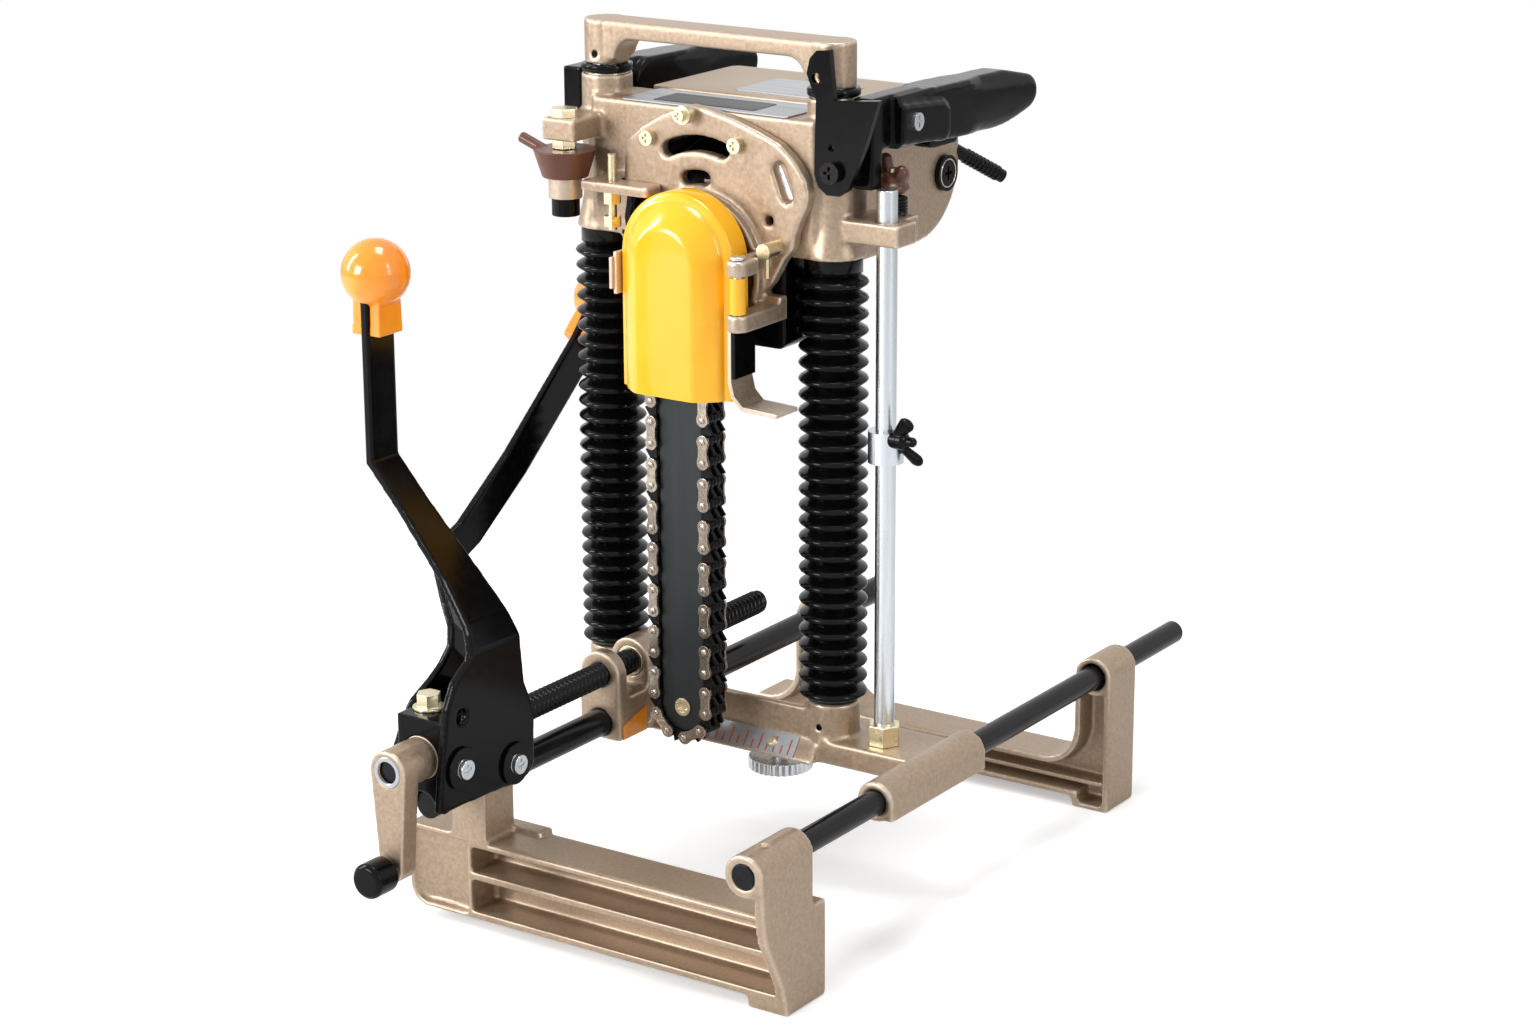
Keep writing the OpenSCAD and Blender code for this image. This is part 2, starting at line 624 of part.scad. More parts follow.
// The points of the ring at turn t of a coil
function coil_ring(t, r, wire, rise) =
    let (a = t * 360, z = wire / 2 + rise * t)
    [for (k = [0 : spring_sides - 1])
        let (u = r + wire / 2 * cos(k * 360 / spring_sides))
        [u * cos(a), u * sin(a), z + wire / 2 * sin(k * 360 / spring_sides)]];
module coil(d, wire, turns, z0, z1) {
    steps = turns * spring_rings;
    rise = (z1 - z0 - wire) / turns;
    rings = [for (i = [0 : steps]) each coil_ring(i / spring_rings, d / 2, wire, rise)];
    last = steps * spring_sides;
    sides = [for (i = [0 : steps - 1], k = [0 : spring_sides - 1])
        let (a = i * spring_sides + k, b = i * spring_sides + (k + 1) % spring_sides)
        each [[a, b, a + spring_sides], [b, b + spring_sides, a + spring_sides]]];
    caps = [for (k = [1 : spring_sides - 2]) each [[0, k + 1, k], [last, last + k, last + k + 1]]];
    translate([0, 0, z0]) polyhedron(rings, concat(sides, caps));
}
module spring(x, z0, z1) {
    translate([x, column_y, 0]) coil(spring_d, spring_wire, spring_turns, z0, z1);
}
module left_spring() {
    color(steel) spring(left_x, left_socket_z + gap, head_z - gap);
}
module right_spring() {
    color(steel) spring(right_x, socket_z + gap, head_z - gap);
}
spring_pitch = (head_z - socket_z) / spring_turns;
echo(least_gap_between_spring_turns = spring_pitch - spring_wire);

// Bellows: a ribbed hose with its bore, ribs from a formula
bellows_bore = column_d + 6.2;
bellows_collar = 9;
module bellows(x, z0, z1) {
    pitch = (z1 - z0 - bellows_collar) / bellows_ribs;
    valley = bellows_valley_d / 2;
    tip = bellows_d / 2;
    ribs = [for (i = [0 : bellows_ribs - 1]) each [
        [valley, z0 + pitch * (i + 0.06)], [tip - 0.5, z0 + pitch * (i + 0.42)], [tip,
        z0 + pitch * (i + 0.5)],
        [tip - 0.5, z0 + pitch * (i + 0.58)], [valley, z0 + pitch * (i + 0.94)]
    ]];
    translate([x, column_y, 0]) rotate_extrude($fn = 48)
        polygon(concat([[bellows_bore / 2, z0], [valley, z0]], ribs, [[valley, z1],
            [bellows_bore / 2, z1]]));
}
echo(least_gap_between_ribs = (head_z - left_socket_z) / bellows_ribs * 0.12);
module left_bellows() {
    color(gloss_black) bellows(left_x, left_socket_z + gap, head_z - gap);
}
module right_bellows() {
    color(gloss_black) bellows(right_x, socket_z + gap, head_z - gap);
}
module bumper_rings() {
    color(gloss_black) for (x = [left_x, right_x]) difference() {
        bar_along_z(head_sleeve_d + 0.6, head_top_z + gap, post_z, x, column_y);
        bar_along_z(column_d, head_top_z, post_z + 1, x, column_y);
    }
}

// Carry handle on top of the columns
module carry_handle() {
    bar_z = handle_z - 10;
    fillet = 12;
    y0 = column_y - 11;
    y1 = column_y + 11;
    color(bronze) difference() {
        union() {
            for (x = [left_x, right_x]) bar_along_z(2 * post_r, post_z, handle_z, x, column_y);
            block(left_x, right_x, y0, y1, bar_z, handle_z);
            difference() {
                for (s = [[left_x + 4, left_x + post_r + fillet], [right_x - post_r - fillet, right_x - 4]])
                    block(s[0], s[1], y0, y1, bar_z - fillet, bar_z + 1);
                for (x = [left_x + post_r + fillet, right_x - post_r - fillet])
                    bar_along_y(2 * fillet, y0 - 1, y1 + 1, x, bar_z - fillet);
            }
        }
        for (x = [left_x, right_x]) {
            bar_along_z(column_d, post_z - 1, column_top_z, x, column_y);
            bar_along_y(4, column_y - 17, column_y, x, pin_hole_z);
        }
    }
}
module column_pins() {
    color(plate_grey) for (x = [left_x, right_x]) {
        bar_along_y(4, column_y - socket_d / 2 + 0.6, column_y - column_d / 2 + 2, x, base_z + 21);
        bar_along_y(4, column_y - post_r + 0.6, column_y - column_d / 2 + 2, x, pin_hole_z);
    }
}

// Depth stop rod with its nut, collar and wing screw
module stop_rod() {
    color(zinc) {
        bar_along_z(stop_rod_d, plate_z, plate_z + stop_rod_h, stop_x, column_y);
        bar_along_z(8, base_z + 1, plate_z, stop_x, column_y);
    }
}
module stop_rod_nut() {
    color(brass) difference() {
        hexagon(17, plate_z, plate_z + 12, stop_x, column_y);
        bar_along_z(stop_rod_d, plate_z - 1, plate_z + 13, stop_x, column_y);
    }
}
collar_z = plate_z + collar_h;
collar_d = 20;
collar_len = 18;
wing_x0 = stop_x + collar_d / 2 + gap;
module stop_collar() {
    color(zinc) difference() {
        bar_along_z(collar_d, collar_z - collar_len / 2, collar_z + collar_len / 2, stop_x, column_y);
        bar_along_z(stop_rod_d + 2 * run, collar_z - collar_len, collar_z + collar_len, stop_x, column_y);
        bar_along_x(6, stop_x, wing_x0 + 1, column_y, collar_z);
    }
}
module stop_wing_screw() {
    wing_tilt = 25;
    color(gloss_black) {
        bar_along_x(6 - 2 * run, stop_x + stop_rod_d / 2 + gap, wing_x0 + 4, column_y, collar_z);
        bar_along_x(11, wing_x0, wing_x0 + 6, column_y, collar_z);
        translate([0, column_y, collar_z]) rotate([wing_tilt, 0, 0]) for (s = [-1, 1])
            band_along_x(wing_x0 + 1, wing_x0 + 5, [[s * 3, 0], [s * 12, 8]], [2.5, 4.5]);
    }
}

// Scale strip on the carriage's front slope
scale_screw_x = bar_x + 43;
scale_x0 = bar_x - 6;
scale_x1 = right_x - socket_d / 2 + 3;
scale_t = 0.8;
slope_rise = plate_z - 1 - (base_z + 2);
slope_len = norm([slope_y - lip_y, slope_rise]);
module on_slope() {
    translate([0, lip_y, base_z + 2]) rotate([atan2(slope_rise, slope_y - lip_y), 0, 0]) children();
}
module scale_plate() {
    color("#B9B9BC") on_slope() difference() {
        translate([scale_x0, 0.4, 0]) cube([scale_x1 - scale_x0, slope_len - 0.8, scale_t]);
        translate([scale_screw_x, slope_len / 2, -1]) cylinder(d = 3, h = 4);
    }
}
module scale_screw() {
    color(brass) on_slope() translate([scale_screw_x, slope_len / 2, 0]) {
        translate([0, 0, -7]) cylinder(d = 3, h = 8);
        translate([0, 0, scale_t]) cylinder(d1 = 7, d2 = 4.5, h = 2.4);
    }
}
// Knurled knob under the carriage plate
module plate_lock_knob() {
    x = bar_x + 30;
    y = column_y + 8;
    color(steel) {
        difference() {
            bar_along_z(38, base_z - 18, base_z - gap, x, y);
            for (a = [0 : 45 : 315])
                bar_along_z(7, base_z - 19, base_z - 6, x + 13 * cos(a), y + 13 * sin(a));
        }
        bar_along_z(6 - 2 * run, base_z - 1, plate_z - 6 - gap, x, y);
    }
}

// Head casting with its two sleeves, gear case, stop lug, lock arm and front shelf
case_y0 = cover_y + 8;
case_y1 = case_y0 + head_depth;
case_top = head_top_z - 12;
case_side = bellows_d / 2 + 1;
case_foot = head_z - 53;
case_bore_d = 106;
gear_x = bar_x + 3;
gear_z = motor_z;
lug_z0 = head_z + 11;
lug_z1 = head_z + 23.5;
lock_x = left_x - 4.5;
lock_y = column_y - 35;
arm_z0 = head_z + 55;
arm_z1 = head_z + 67.5;
lock2_x = right_x + 28;
lock2_y = column_y + 16;
shelf_z0 = head_z + 28;
shelf_z1 = head_z + 34;
shelf_y = column_y - 40;
tie_x = left_x + 26;
tie_y = shelf_y + 8;
catch_y = column_y - head_sleeve_d / 2 - 4.4;
catch_c = [right_x + 11.5, head_z + 51];
grip_in = head_sleeve_d / 2 + gap;
module head_casting() {
    color(bronze) difference() {
        union() {
            for (x = [left_x, right_x]) {
                bar_along_z(head_sleeve_d, head_z, head_top_z, x, column_y);
                translate([x, column_y, head_z]) cylinder(d1 = head_sleeve_d + 8,
                    d2 = head_sleeve_d, h = 18);
            }
            bar_along_x(14, left_x + 6, left_x + 22, column_y - 9, head_top_z - 22);
            block(left_x + 2, right_x - 2, case_y0, case_y1, head_z, case_top);
            intersection() {
                bar_along_y(2 * cover_plate_r + 6, case_y0, case_y1, bar_x, head_z + 3);
                block(left_x + case_side, right_x - case_side, case_y0, case_y1, case_foot, head_z + 1);
            }
            block(right_x + 8, stop_x + 13, column_y - 10, column_y + 10, lug_z0, lug_z1);
            block(right_x + 8, stop_x + 5, column_y + 9, lock2_y + 9, lug_z0, lug_z1);
            block(left_x + 9.5, plate_c[0] - 55, shelf_y, case_y0 + 1, shelf_z0, shelf_z1);
            block(plate_c[0] - 56, bar_x - 26, shelf_y, cover_y - gap, shelf_z0, shelf_z1);
            block(lock_x - 9, lock_x + 13, lock_y - 9, column_y - 8, arm_z0, arm_z1);
            for (s = [[right_x, right_x + grip_in], [left_x - grip_in, left_x]])
                block(s[0], s[1], column_y + 2, column_y + 12, lug_z1 - 1, head_z + 84);
            block(right_x + 4, catch_c[0] + 4.4, catch_y + 4 + gap, column_y - 5.5, catch_c[1] - 7,
                catch_c[1] + 7);
        }
        for (x = [left_x, right_x])
            bar_along_z(column_d + 5, head_z - 1, head_top_z + 1, x, column_y);
        bar_along_z(stop_rod_d + 1, lug_z0 - 1, lug_z1 + 1, stop_x, column_y);
        bar_along_y(80, case_y0 - 1, case_y1 - 7, bar_x, spindle_z);
        intersection() {
            bar_along_y(case_bore_d, case_y0 - 1, case_y1 - 12, plate_c[0], plate_c[1]);
            block(plate_c[0] - case_bore_d, plate_c[0] + 42, case_y0 - 1, case_y1 - 12,
                spindle_z - 20, case_top - 6);
        }
        bar_along_y(26, case_y0 - 1, case_y1 - 7, gear_x, gear_z);
        bar_along_y(10, case_y1 - 8, case_y1 + 1, bar_x, spindle_z);
        bar_along_y(16, case_y1 - 8, case_y1 + 1, gear_x, gear_z);
        bar_along_z(8, arm_z0 - 1, arm_z1 + 1, lock_x, lock_y);
        bar_along_z(6, lug_z0 - 1, lug_z1 + 1, lock2_x, lock2_y);
        bar_along_z(5, shelf_z0 - 1, shelf_z1 + 1, tie_x, tie_y);
        bar_along_y(6, catch_y, column_y - 4, catch_c[0], catch_c[1]);
        for (p = cover_screw_places) bar_along_y(4.2, case_y0 - 1, case_y0 + 12, p[0], p[1]);
    }
}
module head_bushes() {
    color(brass) for (x = [left_x, right_x], z = [head_z, head_top_z - 22]) difference() {
        bar_along_z(column_d + 5, z, z + 22, x, column_y);
        bar_along_z(column_d + 2 * run, z - 1, z + 23, x, column_y);
    }
}

// Gear cover plate with its hub ring, openings and hinge lugs
plate_c = [bar_x + 1, head_z + 9];
cover_edge = bar_x + cover_w / 2;
lug_x0 = cover_edge + 3;
cover_screw_places = [
    [bar_x - 34, head_z + 59.5], [bar_x + 25, head_z + 61], [bar_x - 6.5, head_z + 75.5],
    [lug_x0 + 11, head_z + 7]
];
lug_x1 = lug_x0 + 12;
pin_x = lug_x0 + 6;
pin_y = chain_y - 15;
upper_lug_z = head_z - 4;
lower_lug_z = head_z - 34.5;
hub_d = 85;
lug_h = 9.5;
lug_back = 5.4;
module gear_cover() {
    color(bronze) difference() {
        union() {
            outline_along_y(cover_y, case_y0) translate(plate_c) scale(cover_plate_r / 70) polygon([
                [3, 70], [-9, 71], [-27, 64], [-41, 56], [-52, 47], [-54, 28], [-54, 19], [-28, 16],
                [-30, -19], [36, -34], [46, -23], [54, -9], [60, -2], [61, 5], [64, 13],
                [68.7, 22], [70, 28.5],
                [68, 37], [61, 46.5], [51, 55], [36, 61], [20.5, 66]
            ]);
            bar_along_y(hub_d, cover_y - 6, case_y0, bar_x, spindle_z);
            block(lug_x0, lug_x1, pin_y, cover_y + 1, lower_lug_z, lower_lug_z + lug_h);
            block(lug_x0, lug_x1, pin_y, pin_y + 12, upper_lug_z, upper_lug_z + lug_h);
            block(lug_x0, lug_x0 + lug_back, pin_y, cover_y + 1, upper_lug_z, upper_lug_z + lug_h);
            for (z = [upper_lug_z, lower_lug_z]) bar_along_z(lug_x1 - lug_x0, z, z + lug_h, pin_x, pin_y);
            block(lug_x0 - 12, lug_x1, cover_y, case_y0, lower_lug_z, lower_lug_z + lug_h + 4);
        }
        bar_along_y(77, cover_y - 7, cover_y + 3, bar_x, spindle_z);
        bar_along_y(14, cover_y - 7, case_y0 + 1, bar_x, spindle_z);
        outline_along_y(cover_y - 1, case_y0 + 1) {
            arc_slot([bar_x - 1, head_z + 9], 50, 9, 72, 115);
            arc_slot([bar_x - 2, head_z + 9], 31, 8, 82, 104);
        }
        band_along_y(cover_y - 1, cover_y + 5, [[bar_x + 52, head_z + 50], [bar_x + 57,
            head_z + 36]], [4.5, 4]);
        bar_along_y(6, cover_y - 1, case_y0 + 1, bar_x + 45, head_z + 21);
        for (p = cover_screw_places) bar_along_y(4.2, cover_y - 7, case_y0 + 1, p[0], p[1]);
        bar_along_z(6, lower_lug_z - 1, upper_lug_z + lug_h + 1, pin_x, pin_y);
        for (x = [bar_x - 7, bar_x + 7]) bar_along_y(4, cover_y - 7, case_y0 + 1, x, bar_top_z - 8);
        block(bar_x - 16, bar_x + 16, cover_y - 7, cover_y + 3, spindle_z - 50, spindle_z - 34);
    }
}
// A slot along an arc with round ends
module arc_slot(c, r, w, a0, a1) {
    steps = 12;
    angles = [for (i = [0 : steps]) a0 + (a1 - a0) * i / steps];
    inner = [for (i = [steps : -1 : 0]) c + (r - w / 2) * [cos(angles[i]), sin(angles[i])]];
    polygon(concat([for (a = angles) c + (r + w / 2) * [cos(a), sin(a)]], inner));
    for (a = [a0, a1]) translate(c + r * [cos(a), sin(a)]) circle(w / 2);
}
module head_screws() {
    top = cover_screw_places[2];
    color(brass) {
        for (p = cover_screw_places) {
            bar_along_y(4.1, cover_y - 1, case_y0 + 10, p[0], p[1]);
            bar_along_y(8.5, cover_y - 4.5, cover_y, p[0], p[1]);
        }
        bar_along_y(10.5, cover_y - 8, cover_y - 4, top[0], top[1]);
        bar_along_y(7, cover_y - 12, cover_y - 8, top[0], top[1]);
        for (x = [bar_x - 7, bar_x + 7]) {
            bar_along_y(4, chain_y - bar_t / 2 - 1, case_y0 - 1, x, bar_top_z - 8);
            bar_along_y(7, chain_y + bar_t / 2, cover_y + 3, x, bar_top_z - 8);
            hexagon_y(7, chain_y - bar_t / 2 - 4, chain_y - bar_t / 2, x, bar_top_z - 8);
        }
        bar_along_y(6, catch_y - 1, column_y - 6.5, catch_c[0], catch_c[1]);
        bar_along_y(12, catch_y - 4, catch_y - gap, catch_c[0], catch_c[1]);
        bar_along_z(5, shelf_z0 - 22, shelf_z1 + 15, tie_x, tie_y);
        hexagon(9, shelf_z0 - 7, shelf_z0, tie_x, tie_y);
        hexagon(9, shelf_z0 - 20, shelf_z0 - 14, tie_x, tie_y);
        bar_along_z(6, lug_z0 + 2, lug_z1 + 26, lock2_x, lock2_y);
    }
}

// Drive: spindle with its sprocket, gears, armature and stator
sprocket_r = 13.8;
gear_gap = norm([gear_x - bar_x, gear_z - spindle_z]);
gear_teeth = 41;
pinion_teeth = 9;
gear_module = 2 * gear_gap / (gear_teeth + pinion_teeth);
module tooth_outline(n, m, shift) {
    r = n * m / 2;
    root = r - 1.1 * m;
    polygon([for (i = [0 : n - 1]) each [
        for (k = [[-0.3, root], [-0.15, r + 0.75 * m], [0.15, r + 0.75 * m], [0.3, root]])
            k[1] * [cos((i + k[0] + shift) * 360 / n), sin((i + k[0] + shift) * 360 / n)]
    ]]);
}
gear_y0 = case_y0 + 4;
gear_y1 = gear_y0 + 12;
mesh_angle = atan2(gear_z - spindle_z, gear_x - bar_x);
module spindle() {
    color(steel) {
        bar_along_y(14 - 2 * run, chain_y + 8, gear_y0 - gap, bar_x, spindle_z);
        bar_along_y(10 - 2 * run, gear_y0 - 1, case_y1 - 1, bar_x, spindle_z);
        outline_along_y(chain_y - 3, chain_y + 3) translate([bar_x, spindle_z]) sprocket_outline();
        bar_along_y(14, chain_y - 8, chain_y + 9, bar_x, spindle_z);
        hexagon_y(12, chain_y - 12, chain_y - 8, bar_x, spindle_z);
    }
}
module hexagon_y(af, y0, y1, x, z) {
    translate([x, y0, z]) rotate([-90, 0, 0]) cylinder(d = af / cos(30), h = y1 - y0, $fn = 6);
}
module sprocket_outline() {
    n = 6;
    polygon([for (i = [0 : n - 1]) each [
        for (k = [[-0.32, 0.75], [-0.12, 1], [0.12, 1], [0.32, 0.75]])
            sprocket_r * k[1] * [cos((i + k[0]) * 360 / n), sin((i + k[0]) * 360 / n)]
    ]]);
}
module drive_gear() {
    color(steel) difference() {
        outline_along_y(gear_y0, gear_y1) translate([bar_x, spindle_z]) rotate(mesh_angle)
            tooth_outline(gear_teeth, gear_module, 0);
        bar_along_y(10 - 2 * run, gear_y0 - 1, gear_y1 + 1, bar_x, spindle_z);
        for (a = [0 : 60 : 300])
            bar_along_y(9, gear_y0 - 1, gear_y1 + 1, bar_x + 17 * cos(a), spindle_z + 17 * sin(a));
    }
}
arm_y1 = case_y1 + motor_depth - 8;
module armature() {
    color(steel) {
        outline_along_y(gear_y0, gear_y1) translate([gear_x, gear_z]) rotate(mesh_angle + 180)
            tooth_outline(pinion_teeth, gear_module, 0.5);
        bar_along_y(9, gear_y1 - 1, case_y1 + 12, gear_x, gear_z);
        bar_along_y(44, case_y1 + 20, case_y1 + 76, gear_x, gear_z);
        bar_along_y(14, case_y1 + 10, case_y1 + 21, gear_x, gear_z);
        bar_along_y(26, case_y1 + 82, case_y1 + 100, gear_x, gear_z);
        bar_along_y(9, case_y1 + 75, arm_y1, gear_x, gear_z);
    }
}
module stator() {
    color(copper) difference() {
        bar_along_y(stator_d, case_y1 + 22, case_y1 + 74, gear_x, gear_z);
        bar_along_y(46, case_y1 + 21, case_y1 + 75, gear_x, gear_z);
    }
}

// Motor housing: a hollow shell behind the head casting, round at its rear end
house_r = 45;
house_x0 = bar_x - motor_w / 2 - 1;
house_x1 = house_x0 + motor_w;
house_t = 4;
guard_at = [house_x1 - 5, case_y1 + motor_depth - 1, motor_z + 2];
module house_shape(inset) {
    x0 = house_x0 + inset;
    x1 = house_x1 - inset;
    y = case_y1 + motor_depth - house_r;
    r = house_r - inset;
    bar_along_x(2 * r, x0, x1, y, motor_z);
    block(x0, x1, case_y1, y, motor_z - r, motor_z + r);
}
module motor_housing() {
    color(bronze) difference() {
        union() {
            difference() {
                house_shape(0);
                house_shape(house_t);
            }
            intersection() {
                house_shape(1);
                union() {
                    bar_along_y(20, arm_y1 - 8, arm_y1 + 20, gear_x, gear_z);
                    difference() {
                        block(house_x0, house_x1, case_y1 + 40, case_y1 + 56, motor_z - house_r,
                            motor_z + house_r);
                        bar_along_y(stator_d, case_y1 + 20, case_y1 + 76, gear_x, gear_z);
                    }
                }
            }
        }
        block(house_x0 + house_t, house_x1 - house_t, case_y1 - 1, case_y1 + 8, gear_z - 41, gear_z + 41);
        bar_along_y(9 + 2 * run, arm_y1 - 9, arm_y1 + gap, gear_x, gear_z);
        for (x = [house_x0 - 1, house_x1 - house_t - 1])
            bar_along_x(17, x, x + house_t + 2, brush_y, brush_z);
        guard_place() translate([0, 0, -8]) cylinder(d = 8, h = 20);
    }
}
brush_y = case_y1 + 104;
brush_z = gear_z - 9;
module brush_caps() {
    color(gloss_black) for (s = [[house_x0, -1], [house_x1, 1]]) difference() {
        union() {
            bar_along_x(17, min(s[0], s[0] - s[1] * 7), max(s[0], s[0] - s[1] * 7), brush_y, brush_z);
            bar_along_x(21, min(s[0], s[0] + s[1] * 3), max(s[0], s[0] + s[1] * 3), brush_y, brush_z);
        }
        translate([s[0] + s[1] * 3, brush_y, brush_z]) cube([3, 8, 1.6], center = true);
    }
}

// Guide bar, nose bearing and the chain
bar_top_z = spindle_z - sprocket_r - 9;
module guide_bar() {
    color(gloss_black) difference() {
        outline_along_y(chain_y - bar_t / 2, chain_y + bar_t / 2) {
            translate([bar_x, nose_z]) circle(bar_w / 2);
            translate([bar_x - bar_w / 2, nose_z]) square([bar_w, bar_top_z - nose_z - 4]);
            translate([bar_x - bar_w / 2 + 5, nose_z]) square([bar_w - 10, bar_top_z - nose_z]);
        }
        bar_along_y(9, chain_y - bar_t, chain_y + bar_t, bar_x, nose_z);
        for (x = [bar_x - 7, bar_x + 7]) bar_along_y(4, chain_y - bar_t, chain_y + bar_t, x, bar_top_z - 8);
    }
}
module nose_bearing() {
    color(brass) {
        bar_along_y(9, chain_y - bar_t / 2, chain_y + bar_t / 2, bar_x, nose_z);
        for (y = [chain_y - bar_t / 2 - 1.2, chain_y + bar_t / 2])
            bar_along_y(10.5, y, y + 1.2, bar_x, nose_z);
    }
}
// The chain's path: up the right of the bar, over the sprocket, down and round the nose
chain_r = bar_w / 2 + gap + chain_band / 2;
run_h = spindle_z - nose_z;
arc_h = PI * chain_r;
loop_len = 2 * run_h + 2 * arc_h;
function chain_point(s) =
    s < run_h ? [bar_x + chain_r, nose_z + s]
    : s < run_h + arc_h ? [bar_x, spindle_z] + chain_r * [cos((s - run_h) / chain_r * 180 / PI),
        sin((s - run_h) / chain_r * 180 / PI)]
    : s < 2 * run_h + arc_h ? [bar_x - chain_r, spindle_z - (s - run_h - arc_h)]
    : [bar_x, nose_z] + chain_r * [-cos((s - 2 * run_h - arc_h) / chain_r * 180 / PI),
        -sin((s - 2 * run_h - arc_h) / chain_r * 180 / PI)];
module chain() {
    pitch = loop_len / chain_links;
    plate = 3;
    half = chain_t / 2;
    color(steel) for (i = [0 : chain_links - 1]) {
        p = chain_point(i * pitch);
        q = chain_point(((i + 1) % chain_links) * pitch);
        if (i % 2 == 0) {
            for (y = [-half, half - plate]) chain_plate(p, q, chain_y + y, chain_y + y + plate);
            for (e = [p, q]) bar_along_y(3, chain_y - half - 0.5, chain_y + half + 0.5, e[0], e[1]);
        } else chain_plate(p, q, chain_y - half + plate + 0.4, chain_y + half - plate - 0.4);
    }
}
// One chain plate from rivet to rivet, with its cutting tooth on the outer side
module chain_plate(p, q, y0, y1) {
    d = norm(q - p);
    out = chain_band / 2 - 0.1;
    translate([p[0], y1, p[1]]) rotate([90, 0, 0]) rotate(atan2(q[1] - p[1], q[0] - p[0]))
        linear_extrude(y1 - y0) polygon([
            [-2, 2.2], [d + 2, 2.2], [d + 2.8, 0], [d + 2, -1.9], [d * 0.8, -1.9], [d * 0.62, -out],
            [d * 0.2, -1.9], [-2, -1.9], [-2.8, 0]
        ]);
}

// Bent chip deflector right of the chain, on the gear cover, and its black guide strip
chip_x = cover_edge + 1.7;
chip_z = head_z - 79.4;
chip_t = 2.4;
module chip_deflector() {
    color(bronze) sheet_along_y(cover_y - 30, cover_y - 9, [
        [chip_x, lower_lug_z], [chip_x, chip_z + 15], [chip_x + 2, chip_z + 7], [chip_x + 8, chip_z + 1],
        [chip_x + 31, chip_z]
    ], chip_t);
}
module chip_guide() {
    x = chip_x + chip_t / 2;
    color(gloss_black) block(x, x + 2.6, cover_y - 30, cover_y - 10, chip_z + 17, lower_lug_z - 0.1);
}

// Yellow chain cover, hinged on the right
shell_x0 = bar_x - cover_w / 2;
shell_x1 = shell_x0 + cover_w;
shell_z0 = head_z + 36 - cover_h;
shell_y0 = chain_y - 21;
shell_y1 = chain_y + 8;
module cover_outline(inset) {
    r = cover_w / 2 - inset;
    translate([bar_x, shell_z0 + cover_h - cover_w / 2]) circle(r);
    translate([shell_x0 + inset, shell_z0]) square([2 * r, cover_h - cover_w / 2]);
}
module chain_cover() {
    color(yellow) {
        difference() {
            union() {
                outline_along_y(shell_y0 + 6, shell_y1) cover_outline(0);
                outline_along_y(shell_y0 + 3, shell_y1) cover_outline(4);
                outline_along_y(shell_y0, shell_y1) cover_outline(9);
            }
            translate([0, 0, -1]) {
                outline_along_y(shell_y0 + 8, shell_y1 + 1) cover_outline(cover_t);
                outline_along_y(shell_y0 + cover_t, shell_y1 + 1) cover_outline(9 + cover_t);
            }
        }
        difference() {
            union() {
                bar_along_z(9, lower_lug_z + lug_h + gap, upper_lug_z - gap, pin_x, pin_y);
                block(shell_x1 - 1, pin_x, pin_y - 1.5, pin_y + 1.5, lower_lug_z + lug_h + 1,
                    upper_lug_z - 1);
            }
            bar_along_z(6 + 2 * run, lower_lug_z, upper_lug_z + lug_h, pin_x, pin_y);
        }
    }
}
module cover_hinge_pin() {
    color(zinc) {
        bar_along_z(6, lower_lug_z, upper_lug_z + lug_h, pin_x, pin_y);
        bar_along_z(8.5, upper_lug_z + lug_h, upper_lug_z + lug_h + 2, pin_x, pin_y);
    }
}
// Thumb screw that tightens the gear cover's lower right corner
thumb = cover_screw_places[3];
module cover_thumb_screw() {
    color(brass) {
        bar_along_y(9, cover_y - 15, cover_y - 4.5 - gap, thumb[0], thumb[1]);
        bar_along_z(3, thumb[1] - 15, thumb[1], thumb[0], cover_y - 11);
    }
}

// Side grips with their clamp blocks, drawn for the right hand from the sleeve's axis
grip_z = head_z + 74;
grip_y0 = column_y + 25;
grip_mid = grip_in + 20;
grip_half = 11.5;
grip_c = grip_mid - grip_half - 2.5;
grip_tip_r = 10.5;
clamp_y0 = column_y - 5;
clamp_y1 = column_y + 54;
grip_screw_y = column_y + 28;
trigger_top = grip_z - 6;
module grip(tab) {
    difference() {
        union() {
            band_along_x(grip_c - grip_half, grip_c + grip_half, [
                [grip_y0 + 32, grip_z - 0.8], [grip_y0 + grip_len * 0.76, grip_z - 3.5],
                [grip_y0 + grip_len - grip_tip_r, grip_z - 2.7]
            ], [15.3, 16.3, grip_tip_r]);
            block(grip_in, grip_in + 13, clamp_y0, clamp_y1 - 10, grip_z - 13, grip_z + 16);
            block(grip_in, grip_mid - 3, column_y + 15, clamp_y1, grip_z - 14, grip_z + 15);
            outline_along_x(grip_mid - 12, grip_mid) polygon([
                [column_y + 15, grip_z + 10.5], [clamp_y1 + 6, grip_z + 6.5], [clamp_y1 + 12, grip_z + 2],
                [clamp_y1 + 12, grip_z - 12], [clamp_y1 + 8, grip_z - 15.6], [column_y + 15, grip_z - 11.5]
            ]);
            if (tab) block(grip_in, grip_in + 13, clamp_y0, clamp_y0 + 11, grip_z - 34, grip_z - 14);
        }
        if (tab) block(grip_c - 6.5, grip_c + 6.5, grip_y0 + 30, grip_y0 + 64, grip_z - 30,
            trigger_top);
        bar_along_x(5, grip_in - 1, grip_mid + 30, grip_screw_y, grip_z);
    }
}
module left_grip() {
    color(gloss_black) translate([left_x, 0, 0]) mirror([1, 0, 0]) grip(false);
}
module right_grip() {
    color(gloss_black) translate([right_x, 0, 0]) grip(true);
}
module grip_screw() {
    bar_along_x(5, grip_in, grip_mid + 1, grip_screw_y, grip_z);
    bar_along_x(10, grip_mid, grip_mid + 2.5, grip_screw_y, grip_z);
}
